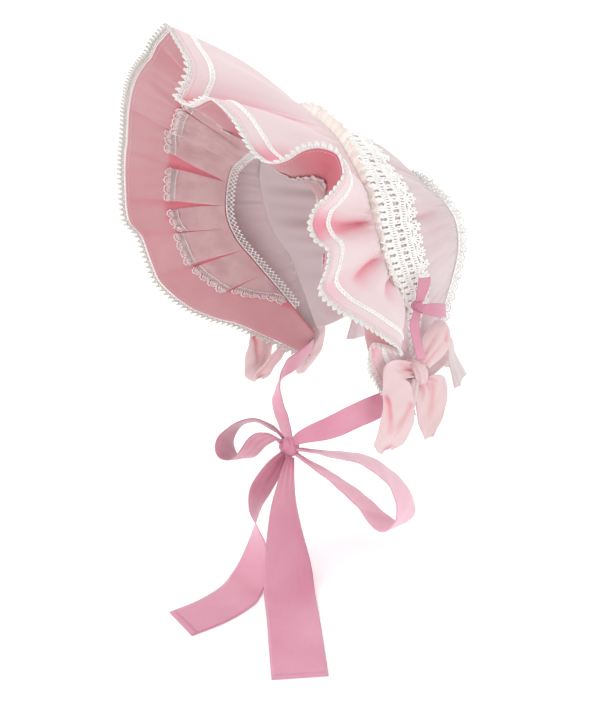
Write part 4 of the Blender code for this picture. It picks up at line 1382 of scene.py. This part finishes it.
    def build_back_lace(self) -> None:
        """Scalloped lace round the back seam."""
        pitch, width = self.back_lace_pitch, self.back_lace_width
        base = self.surface.points[:, -1]
        column = np.arange(len(base)) / (len(base) - 1)
        out = unit(base - np.stack([0 * column, base[:, 1], 0 * column + AXIS_HEIGHT - 15], 1))
        way = unit(out * 0.5 + np.array([0, 0.85, 0]))
        wave = (1.2 * ripple(column * 40, 51, (1.0, 1.5)))[:, None] * out
        start = base + np.array([0, 1.7, 0]) - out * 0.4
        end = base + way * 6.0 + np.array([0, 2.2, 0]) + wave
        guide = np.stack([start, (start + end) / 2, end], 1)
        Trim("back_lace", guide, scallop_cell(pitch, width, 1.5), pitch, width, RIM_THREAD,
             unevenness=0.6).dressed(["crown_back_frill"])

    def build_curtain(self) -> None:
        """Short curtain below the nape edge: it puffs out, then flares to a wavy hem, most at its corners."""
        share = np.linspace(0, 1, 260)
        out = np.stack([np.cos(np.pi * share), 0.9 * arch(share), 0 * share], 1)
        top = self.nape(share) + 0.9 * out + np.array([0, 0, 0.9])
        corner = bell(0.5 - abs(share - 0.5), 0.17, 0.15)[:, None]
        wave = 4.0 * np.sin(share * 2 * np.pi * 6) + 0.8 * ripple(share * 19, 61, (1.0, 1.7))
        wave = wave[:, None] * (1 - 0.85 * corner)
        flare = 1 + 0.42 * corner
        down = np.array([0, 0, -1.0])
        lower = ((14.0, 0.3, 9.0, 0), (17.0, 0.5, 24.0, 2), (25.0, 1.0, 47.0, 7))
        rows = [top + out * (puff + share_of * wave) * flare + down * (fall - lifted * corner)
                for puff, share_of, fall, lifted in lower]
        grid = spline(np.array([top, *rows]), 9).transpose(1, 0, 2)
        # painted shade in the curtain's hollows
        fold = Surface(grid).hollows(9, 4.0) * 0.6
        curtain = thicken(grid_object("nape_frill", grid, fold=fold), self.cloth)
        publish(curtain, CROWN_CLOTH, ["nape_curtain"])

    def build(self) -> None:
        """Build every piece of the crown."""
        for build in (self.build_band, self.build_back, self.build_crochet, self.build_frill,
                      self.build_back_lace, self.build_curtain):
            build()


def spline(rows: np.ndarray, samples: int) -> np.ndarray:
    """Smooth curve through rows of values, with some samples between each two."""
    padded = np.concatenate([2 * rows[:1] - rows[1:2], rows, 2 * rows[-1:] - rows[-2:-1]])
    out = []
    for k in range(len(rows) - 1):
        p0, p1, p2, p3 = padded[k:k + 4]
        out += [0.5 * (2 * p1 + (p2 - p0) * t + (2 * p0 - 5 * p1 + 4 * p2 - p3) * t ** 2
                       + (3 * p1 - p0 - 3 * p2 + p3) * t ** 3) for t in np.arange(samples) / samples]
    return np.array([*out, rows[-1]])


# Sections of each strip: the middle, the way across it, and the width, in order along the strip.
Sections = tuple[tuple[float, ...], ...]
CHIN_LOOP_FRONT: Sections = (
    (3, -50, -129, -0.6, 0.55, -0.58, 14), (0, -55, -126, -0.55, 0.67, -0.51, 32),
    (-5, -64, -130, -0.55, 0.66, -0.51, 43), (-8, -73, -140, -0.62, 0.61, -0.5, 43),
    (-12, -82, -146, -0.72, 0.61, -0.33, 43), (-16, -89, -142, -0.66, 0.71, -0.24, 43),
    (-20, -90, -132, -0.62, 0.74, -0.25, 43), (-24, -80, -122, -0.64, 0.73, -0.24, 42),
    (-24, -60, -118, -0.7, 0.58, -0.42, 38), (-11, -46, -124, -0.6, 0.55, -0.58, 22),
    (-1, -42, -129, -0.6, 0.55, -0.58, 12))
CHIN_LOOP_BACK: Sections = (
    (21, -35, -136, -0.78, 0.55, -0.2, 11), (39, -17, -137, -0.72, 0.65, -0.22, 32),
    (57, 6, -141, -0.72, 0.65, -0.18, 43), (73, 24, -156, -0.66, 0.71, -0.23, 44),
    (83, 31, -173, -0.56, 0.78, -0.28, 45), (87, 30, -188, -0.53, 0.81, -0.25, 45),
    (85, 20, -197, -0.57, 0.8, -0.2, 45), (76, 11, -192, -0.63, 0.76, -0.16, 45),
    (63, 2, -178, -0.7, 0.69, -0.18, 42), (41, -18, -157, -0.76, 0.62, -0.15, 30),
    (21, -36, -144, -0.78, 0.58, -0.2, 11))
TAIL_LONG: Sections = (
    (12, -51, -143, -0.3, 0.72, -0.6, 12), (14, -60, -151, -0.3, 0.75, -0.58, 26),
    (15, -73, -167, -0.36, 0.8, -0.46, 32), (20, -81, -181, -0.66, 0.68, -0.3, 38),
    (29, -86, -195, -0.84, 0.36, -0.42, 40), (37, -89, -208, -0.95, 0.06, -0.28, 40),
    (43, -96, -224, -0.99, -0.08, -0.08, 42), (50, -106, -233.5, -0.99, -0.12, 0.0, 45),
    (66, -124, -234.4, -0.98, -0.16, 0.0, 45), (80, -154, -234.4, -0.99, -0.08, 0.0, 45),
    (87, -186, -234.4, -1.0, 0.03, 0.0, 45))
TAIL_SHORT: Sections = (
    (18, -45, -146, -0.5, 0.78, -0.3, 12), (24, -53, -158, -0.52, 0.82, -0.2, 30),
    (34, -61, -177, -0.42, 0.88, -0.2, 38), (50, -69, -199, -0.22, 0.96, -0.12, 42),
    (68, -76, -219, 0.1, 0.99, -0.06, 43), (88, -86, -231.5, 0.4, 0.91, 0.0, 43),
    (124, -103, -234.4, 0.5, 0.86, 0.0, 43), (168, -125, -234.4, 0.44, 0.9, 0.0, 43),
    (208, -145, -234.4, 0.38, 0.92, 0.0, 43))
TIE: Sections = (
    (76.7, 33.5, -75, 0.47, 0.14, -0.88, 17), (73, 15, -86, 0.26, -0.18, -0.95, 22),
    (68, -4, -93, 0.3, -0.12, -0.94, 22), (49, -22, -108, 0.5, -0.13, -0.85, 20),
    (26, -36, -121, 0.53, -0.12, -0.84, 13), (19, -41, -126, 0.53, -0.12, -0.84, 8))
TIE_RIGHT: Sections = TIE[:4] + (
    (24, -27, -128, 0.53, -0.12, -0.84, 18), (-1, -34, -139, 0.4, -0.12, -0.9, 9))
SIDE_FRONT: Sections = (
    (100, 25, -49, 0.28, -0.09, -0.95, 11), (106, 11, -46, 0.25, 0.35, -0.9, 17),
    (109, 2, -47, 0.19, 0.76, -0.6, 22), (111, 3, -59, 0.09, 0.99, -0.14, 27),
    (114, 3, -76, 0.09, 0.99, -0.1, 29), (115, -1, -93, 0.11, 0.99, 0.02, 31),
    (113, -4, -106, 0.14, 0.98, 0.04, 27), (111.5, -4, -111, 0.14, 0.98, 0.04, 21),
    (108.5, -4, -114.5, 0.16, 0.98, 0.05, 9), (105, -2.5, -111, 0.17, 0.97, 0.1, 18),
    (103, 0, -105, 0.18, 0.95, 0.2, 24), (100, 14, -88, 0.24, 0.96, 0.14, 22),
    (98, 25, -69, 0.26, 0.94, 0.22, 9))
SIDE_UP: Sections = (
    (102, 37, -42, 0.34, 0.81, -0.49, 14), (100, 44, -35, 0.24, 0.83, -0.51, 24),
    (97, 52, -27, 0.24, 0.81, -0.54, 24), (92, 60, -20, 0.18, 0.8, -0.58, 18),
    (85, 62, -31, 0.22, 0.73, -0.64, 22), (87, 58, -44, 0.2, 0.8, -0.57, 26),
    (92, 49, -53, 0.22, 0.81, -0.55, 18))
SIDE_TAIL: Sections = (
    (102, 34, -61, 0.08, 0.88, 0.47, 20), (105, 40, -67, 0.02, 0.91, 0.41, 32),
    (108, 40, -81, -0.04, 0.98, 0.2, 32), (111, 38, -95, -0.09, 0.98, 0.16, 25),
    (114, 34, -108, -0.13, 0.98, 0.17, 9))
# Pressed creases of a strip: where they start and end along it and across it, their depth and width.
Creases = tuple[tuple[float, float, float, float, float, float], ...]
FRONT_CREASES: Creases = (
    (0.0, 0.35, 0.13, 0.15, 2.6, 1.6), (0.0, -0.5, 0.16, -0.45, 1.4, 2.2),
    (0.33, -0.75, 0.5, -0.1, 3.2, 2.6), (0.36, 0.8, 0.52, 0.25, 1.6, 2.0), (0.6, 0.0, 0.98, 0.0, 1.5, 3.0))
UP_CREASES: Creases = (
    (0.0, 0.1, 0.24, 0.3, 2.0, 1.8), (0.02, -0.6, 0.3, -0.3, 1.4, 1.8), (0.3, 0.5, 0.45, 0.1, 1.2, 2.4),
    (0.55, 0.0, 0.98, 0.1, 1.4, 2.5))
TAIL_CREASES: Creases = (
    (0.0, -0.4, 0.3, -0.5, 2.0, 1.7), (0.0, 0.05, 0.24, 0.0, 1.8, 1.5), (0.0, 0.45, 0.2, 0.5, 1.8, 1.5),
    (0.18, 0.2, 0.8, -0.1, 1.2, 3.0))
SMALL_UP: Sections = (
    (103, 24, 12, 0.26, 0.91, -0.32, 6), (101, 28, 20, 0.1, 0.99, -0.05, 11),
    (98, 31, 27, 0.09, 1.0, -0.02, 11), (95, 32, 22, 0.11, 0.99, -0.02, 10),
    (98, 27, 12, 0.19, 0.95, -0.23, 6))
SMALL_REAR: Sections = (
    (104, 28, 2, 0.25, -0.15, -0.96, 8), (103, 40, 0, 0.25, -0.15, -0.96, 11),
    (97, 54, -4, 0.28, -0.11, -0.96, 11), (95, 44, -3, 0.25, -0.15, -0.96, 10),
    (98, 30, 0, 0.25, -0.15, -0.96, 7))
SMALL_TAIL: Sections = (
    (105, 20, 0, 0.19, 0.95, -0.24, 6), (107, 16, -8, 0.09, 0.99, -0.11, 9),
    (107, 19, -24, 0.23, 0.9, -0.37, 9), (104, 26, -40, 0.06, 1.0, 0.04, 8))


@dataclass
class Knot:
    """A wrapped knot: a swollen band with creases that run with the wrap."""

    name: str
    centre: Point
    size: Point
    finish: Finish
    node: str
    creases: float = 3.0
    depth: float = 0.09
    swell: Point = (1.0, 1.0, 1.0)      # against the solid knot
    turn: float = 0.0
    inside: float = 0.985               # a little smaller than the solid, so that its creases show

    def build(self) -> bpy.types.Object:
        """Shape the knot as a closed ball with pressed creases."""
        across = np.linspace(0, np.pi, 41)[1:-1]
        around = np.linspace(0, 2 * np.pi, 72, endpoint=False)
        polar, spin = np.meshgrid(across, around, indexing="ij")
        pinch = 1 - self.depth * np.cos(self.creases * 2 * polar + 0.7 * np.sin(spin)) ** 2
        pinch += 0.5 * self.depth * ripple(spin / (2 * np.pi) * 2 + polar, 71, (1.0, 2.0))
        ball = np.stack([np.sin(polar) * np.cos(spin), np.cos(polar), np.sin(polar) * np.sin(spin)], -1)
        grid = ball * pinch[..., None] * self.inside * np.array(self.size) * np.array(self.swell)
        c, s = np.cos(np.radians(self.turn)), np.sin(np.radians(self.turn))
        grid[..., 1:] = grid[..., 1:] @ np.array([[c, -s], [s, c]])
        grid += np.array(self.centre)
        piece = grid_object(self.name, grid.transpose(1, 0, 2)[::-1], closed=True)
        cap_ends(piece, len(around), len(across))
        return publish(piece, self.finish, [self.node])


def cap_ends(piece: bpy.types.Object, columns: int, rows: int) -> None:
    """Close both poles of a grid that is closed round its columns with a fan to a middle point."""
    mesh = piece.data
    points = np.empty(len(mesh.vertices) * 3)
    mesh.vertices.foreach_get("co", points)
    points = points.reshape(columns, rows, 3)
    faces = [tuple(p.vertices) for p in mesh.polygons]
    first_pole = columns * rows
    for c in range(columns):
        d = (c + 1) % columns
        faces.append((d * rows, c * rows, first_pole))
    for c in range(columns):
        d = (c + 1) % columns
        faces.append((c * rows + rows - 1, d * rows + rows - 1, first_pole + 1))
    verts = points.reshape(-1, 3).tolist() + [points[:, row].mean(0).tolist() for row in (0, -1)]
    new = bpy.data.meshes.new(mesh.name)
    new.from_pydata(verts, [], faces)
    flat = np.array(verts)[np.concatenate(faces)][:, [0, 2]]
    new.uv_layers.new(name=CLOTH_UV).data.foreach_set("uv", flat.astype(np.float32).ravel())
    new.attributes.new(FOLD_SHADE, "FLOAT", "POINT")
    new.polygons.foreach_set("use_smooth", [True] * len(new.polygons))
    piece.data = new


@dataclass
class Strip:
    """One strip of ribbon or bow cloth, through its sections."""

    name: str
    node: str
    sections: Sections
    finish: Finish
    side: Side = Side.LEFT
    shift: Point = (0.0, 0.0, 0.0)
    knot: Knot | None = None
    ends: tuple[int, ...] = ()          # sections that are drawn up to the knot
    gap: float = 0.25
    sink: float = 0.9                   # how far the strip goes in under the knot's wrap
    cup: float = 0.0
    pleats: float = 0.0
    pleat_count: float = 3.0
    pleat_run: float = 16.0
    thickness: float = 0.7
    samples: int = 12
    across: int = 15
    held: Held = Held.HUNG
    hems: tuple[float, ...] = ()        # distance of each row of stitches from the end
    crinkle: float = 0.0
    creases: Creases = ()
    seed: int = 81

    def table(self) -> np.ndarray:
        """Sections moved to their side, with the named ends drawn up to the knot."""
        table = np.array(self.sections, float)
        table[:, (0, 3)] *= self.side.value
        table[:, :3] += np.array(self.shift)
        for end in self.ends:
            centre, size = np.array(self.knot.centre), np.array(self.knot.size)
            way = unit(table[end, :3] - centre)
            reach = 1.0 / np.linalg.norm(way / size) + self.gap - self.sink
            table[end, :3] = centre + way * reach
            table[end, 3:6] = unit(table[end, 3:6] - way * np.dot(way, table[end, 3:6]))
        return table

    def pressed(self, length: np.ndarray, half: np.ndarray,
                v: np.ndarray) -> tuple[np.ndarray, np.ndarray]:
        """Work out the pressed creases.

        Args:
            length: Distance of each row along the strip.
            half: Half the width at each row.
            v: Place of each column across the strip, from -1 to 1.

        Returns:
            Depth of the creases at each point, and how deep in one each point lies, from 0 to 1, which paints
            shade into the creases.
        """
        place = np.stack(np.broadcast_arrays(length[:, None], v[None, :] * half[:, None]), -1)
        depth, inside = np.zeros(place.shape[:2]), np.zeros(place.shape[:2])
        for s0, v0, s1, v1, deep, wide in self.creases:
            ends = np.array([(s * length[-1], w * np.interp(s * length[-1], length, half))
                             for s, w in ((s0, v0), (s1, v1))])
            run = ends[1] - ends[0]
            share = np.clip(((place - ends[0]) * run).sum(-1) / (run * run).sum(), 0, 1)
            away = np.linalg.norm(place - ends[0] - share[..., None] * run, axis=-1) / wide
            tapered = np.exp(-away ** 2) * (1 - 0.75 * share)
            depth += deep * tapered
            inside = np.maximum(inside, tapered * min(1.0, deep / 2.5))
        return depth, inside

    def grid(self) -> tuple[Grid, np.ndarray]:
        """Points of the strip, hollowed across and creased, and how deep in a crease each one lies, where
        shade is painted.
        """
        rows = spline(self.table(), self.samples)
        middle, way, width = rows[:, :3], unit(rows[:, 3:6]), rows[:, 6]
        ahead = np.gradient(middle, axis=0)
        normal = unit(np.cross(way, ahead)) * self.side.value
        v = np.linspace(-1, 1, self.across)
        length = np.concatenate([[0], np.cumsum(np.linalg.norm(np.diff(middle, axis=0), axis=1))])
        near = np.exp(-length / self.pleat_run)
        if len(self.ends) > 1:
            near = np.maximum(near, np.exp(-(length[-1] - length) / self.pleat_run))
        lift = self.cup * (1 - v ** 2)[None, :] * np.ones((len(rows), 1))
        lift += self.pleats * near[:, None] * np.cos(np.pi * self.pleat_count * v)[None, :]
        crinkles = ripple(length[:, None] / 34.0 + 0.35 * v[None, :], self.seed, (1.0, 1.9, 0.6))
        lift += self.crinkle * crinkles * (1 - near[:, None])
        depth, inside = self.pressed(length, width / 2, v)
        lift -= depth
        across = way[:, None] * (v[None, :] * width[:, None] / 2)[..., None]
        return middle[:, None] + across + normal[:, None] * lift[..., None], inside

    def build(self) -> bpy.types.Object:
        points, inside = self.grid()
        # the crease depth paints shade into the cloth's colour
        piece = thicken(grid_object(self.name, points, fold=inside), self.thickness)
        publish(piece, self.finish, [self.node])
        self.build_hems(Surface(points))
        return piece

    def build_hems(self, surface: Surface) -> None:
        """Rows of stitches across the folded end, on both faces."""
        v = np.linspace(0.03, 0.97, 60)
        total = surface.columns - 1
        step = np.linalg.norm(surface.points[-1, self.across // 2] - surface.points[-2, self.across // 2])
        pen = Pen().line([(0.3, 0.5), (1.1, 0.5, 0.15), (1.9, 0.5)], 0.2)
        for k, inset in enumerate(self.hems):
            c = 1 - inset / step / total
            for label, lift in (("upper", 0.42), ("under", -0.42)):
                guide = np.stack([surface.at(c + s / step / total, v, lift) for s in (-0.5, 0.0, 0.5)], 1)
                Trim(f"{self.name}_hem_{label}_{k}", guide, pen, 2.5, 1.0, SATIN_STITCH).dressed()


@dataclass
class Bows:
    """The cloth bows at the cheeks and the little satin bows above them."""

    side_size: Point = (12.0, 6.5, 10.0)
    side_centre: Point = (96.4, 31.0, -54.0)
    small_size: Point = (8.0, 4.0, 5.0)

    def build_side(self, side: Side, shift: Point, swing: Point) -> None:
        """Cloth bow of one side: knot, drooping front loop, upper loop and tail.

        Args:
            side: The side of the bonnet.
            shift: How far the bow lies from its place on the wearer's left.
            swing: How much further the front loop swings.
        """
        label, node, by = f"cheek_bow_{side.label}", f"side_bow_{side.label}", np.array(shift, float)
        out, *rest = self.side_centre
        centre = tuple(np.array([out * side.value, *rest]) + by)
        knot = Knot(f"{label}_knot", centre, self.side_size, BOW_CLOTH, f"{node}_knot",
                    swell=(1.0, 1.35, 1.35), turn=-25.0)
        knot.build()
        common = {"finish": BOW_CLOTH, "side": side, "knot": knot, "held": Held.FOLDED, "thickness": 1.0,
                  "pleat_count": 2.5, "across": 33}
        Strip(f"{label}_front", f"{node}_front", SIDE_FRONT, shift=tuple(by + swing), ends=(0, -1), gap=0.65,
              cup=4.2, pleats=1.0, crinkle=0.9, creases=FRONT_CREASES, seed=82, **common).build()
        Strip(f"{label}_up", f"{node}_up", SIDE_UP, shift=tuple(by), ends=(0, -1), gap=0.5,
              cup=3.6, pleats=0.9, crinkle=0.7, creases=UP_CREASES, seed=83, **common).build()
        Strip(f"{label}_tail", f"{node}_tail", SIDE_TAIL, shift=tuple(by), ends=(0,), gap=0.5,
              cup=2.6, pleats=0.6, crinkle=0.8, creases=TAIL_CREASES, seed=84, **common).build()

    def build_small(self, side: Side, out: float) -> None:
        """Satin bow of one side, at a distance out from the middle: knot, two loops and a tail."""
        label, node = f"ribbon_bow_{side.label}", f"small_bow_{side.label}"
        knot = Knot(f"{label}_knot", (out * side.value, 27.0, 4.0), self.small_size, SATIN, f"{node}_knot")
        knot.build()
        for part, sections, ends in (("up", SMALL_UP, (0, -1)), ("rear", SMALL_REAR, (0, -1)),
                                     ("tail", SMALL_TAIL, (0,))):
            Strip(f"{label}_{part}", f"{node}_{part}", sections, SATIN, side, (3 * side.value, 3, 0), knot,
                  ends, held=Held.FOLDED, across=9, thickness=0.5, pleats=0.3, samples=9).build()

    def build(self) -> None:
        """Build both kinds of bow on both sides."""
        self.build_side(Side.LEFT, (0, 0, 0), (7, -5, 3))
        self.build_side(Side.RIGHT, (3.3, 6, -4), (-14.7, -4, 2))
        self.build_small(Side.LEFT, 101.9)
        self.build_small(Side.RIGHT, 104.4)


@dataclass
class Ties:
    """The satin ties, and the bow that they make under the chin."""

    centre: Point = (10.0, -42.0, -135.0)
    size: Point = (11.0, 8.5, 9.0)
    hems: tuple[float, float] = (4.5, 6.0)

    def build(self) -> None:
        """Build the knot, both ties, both loops and both tails."""
        knot = Knot("ribbon_knot", self.centre, self.size, SATIN, "chin_knot", creases=2.5, depth=0.07)
        knot.build()
        common = {"knot": knot, "across": 17}
        for side, sections in ((Side.LEFT, TIE), (Side.RIGHT, TIE_RIGHT)):
            Strip(f"ribbon_tie_{side.label}", f"tie_{side.label}", sections, SATIN, side, ends=(-1,),
                  crinkle=0.35, **common).build()
        for part, sections, finish in (("front", CHIN_LOOP_FRONT, SATIN),
                                       ("back", CHIN_LOOP_BACK, SATIN_LIT)):
            Strip(f"ribbon_loop_{part}", f"chin_loop_{part}", sections, finish, ends=(0, -1), pleats=1.1,
                  crinkle=0.35, held=Held.FOLDED, **common).build()
        for part, sections in (("long", TAIL_LONG), ("short", TAIL_SHORT)):
            Strip(f"ribbon_tail_{part}", f"chin_tail_{part}", sections, SATIN, ends=(0,), pleats=1.1,
                  hems=self.hems, **common).build()


def placed(data: bpy.types.ID, axes: Sequence[np.ndarray], place: np.ndarray) -> bpy.types.Object:
    """Object of a camera or light with its right, up and back axes at a place."""
    made = link(data.name, data)
    made.matrix_world = Matrix([*np.stack([*axes, place], -1).tolist(), [0, 0, 0, 1]])
    return made


@dataclass
class Studio:
    """Pale floor, soft light and the camera at the photograph's angle."""

    azimuth: float = 60.0
    pitch: float = 17.0
    distance: float = 1.2
    lens: float = 69.0
    target: Point = (0.0048, -0.0278, -0.0590)
    key: float = 12.0
    fill: float = 2.0
    lamp_size: float = 1.2
    sky: float = 1.0
    bend: float = 0.7           # share of the floor's run where it turns up

    def axes(self) -> tuple[np.ndarray, np.ndarray, np.ndarray]:
        """Right, up and back of the camera."""
        a, e = np.radians(self.azimuth), np.radians(self.pitch)
        back = np.array([np.sin(a) * np.cos(e), -np.cos(a) * np.cos(e), np.sin(e)])
        right = np.array([np.cos(a), np.sin(a), 0.0])
        return right, np.cross(back, right), back

    def build_camera(self) -> None:
        """Camera at the photograph's angle."""
        axes = self.axes()
        data = bpy.data.cameras.new("camera")
        data.lens, data.sensor_width = self.lens, 36.0
        place = np.array(self.target) + axes[2] * self.distance
        bpy.context.scene.camera = placed(data, axes, place)

    def build_light(self, name: str, place: Point, power: float, colour: Colour) -> None:
        """Square soft light that faces the bonnet."""
        data = bpy.data.lights.new(name, "AREA")
        data.size, data.energy, data.color = self.lamp_size, power, colour
        back = unit(np.array(place))
        right = unit(np.cross((0, 0, 1.0), back))
        placed(data, (right, np.cross(back, right), back), np.array(place))

    def build_floor(self) -> None:
        """Floor that turns up into a backdrop far behind, in a pale painted finish."""
        _, _, back = self.axes()
        flat = unit(np.array([back[0], back[1], 0.0]))
        side = np.array([-flat[1], flat[0], 0.0])
        run = np.linspace(0, 1, 60)
        turn = np.clip((run - self.bend) / (1 - self.bend), 0, 1)
        forward = 2500 - 6500 * np.minimum(run / self.bend, 1) - 900 * np.sin(turn * np.pi / 2)
        rise = FLOOR_HEIGHT - 0.3 + 3000 * turn ** 2
        line = forward[:, None] * flat + np.stack([0 * rise, 0 * rise, rise], 1)
        floor = grid_object("floor", line[:, None] + np.linspace(-4000, 4000, 30)[None, :, None] * side)
        made, graph, shader = new_material("painted_floor")
        patch = graph.noise(graph.node("ShaderNodeTexCoord").outputs["Object"], 3.0)
        graph.put(graph.mix(patch, (0.93, 0.93, 0.93, 1), (0.96, 0.96, 0.96, 1)), shader.inputs["Base Color"])
        shader.inputs["Roughness"].default_value = 0.9
        shader.inputs["Emission Color"].default_value = (1.0, 1.0, 1.0, 1.0)
        shader.inputs["Emission Strength"].default_value = 0.22
        floor.data.materials.append(made)

    def build_sky(self) -> None:
        """Even white surround."""
        world = bpy.data.worlds.new("surround")
        world.use_nodes = True
        shade = world.node_tree.nodes["Background"]
        shade.inputs["Color"].default_value = (1.0, 1.0, 1.0, 1.0)
        shade.inputs["Strength"].default_value = self.sky
        bpy.context.scene.world = world
        bpy.context.scene.view_settings.view_transform = "Standard"

    def build(self) -> None:
        """Set up the camera, the floor and the lights."""
        self.build_camera()
        self.build_floor()
        self.build_sky()
        self.build_light("key", (-0.5, -1.6, 1.6), self.key, (1.0, 0.98, 0.96))
        self.build_light("fill", (1.5, -1.0, 0.9), self.fill, (0.97, 0.98, 1.0))


def main() -> None:
    """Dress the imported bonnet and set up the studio."""
    logging.basicConfig(level=logging.INFO, format="%(name)s: %(message)s")
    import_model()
    Studio().build()
    brim = Brim()
    brim.build()
    Crown().build()
    Bows().build()
    Ties().build()


if __name__ == "__main__":
    main()
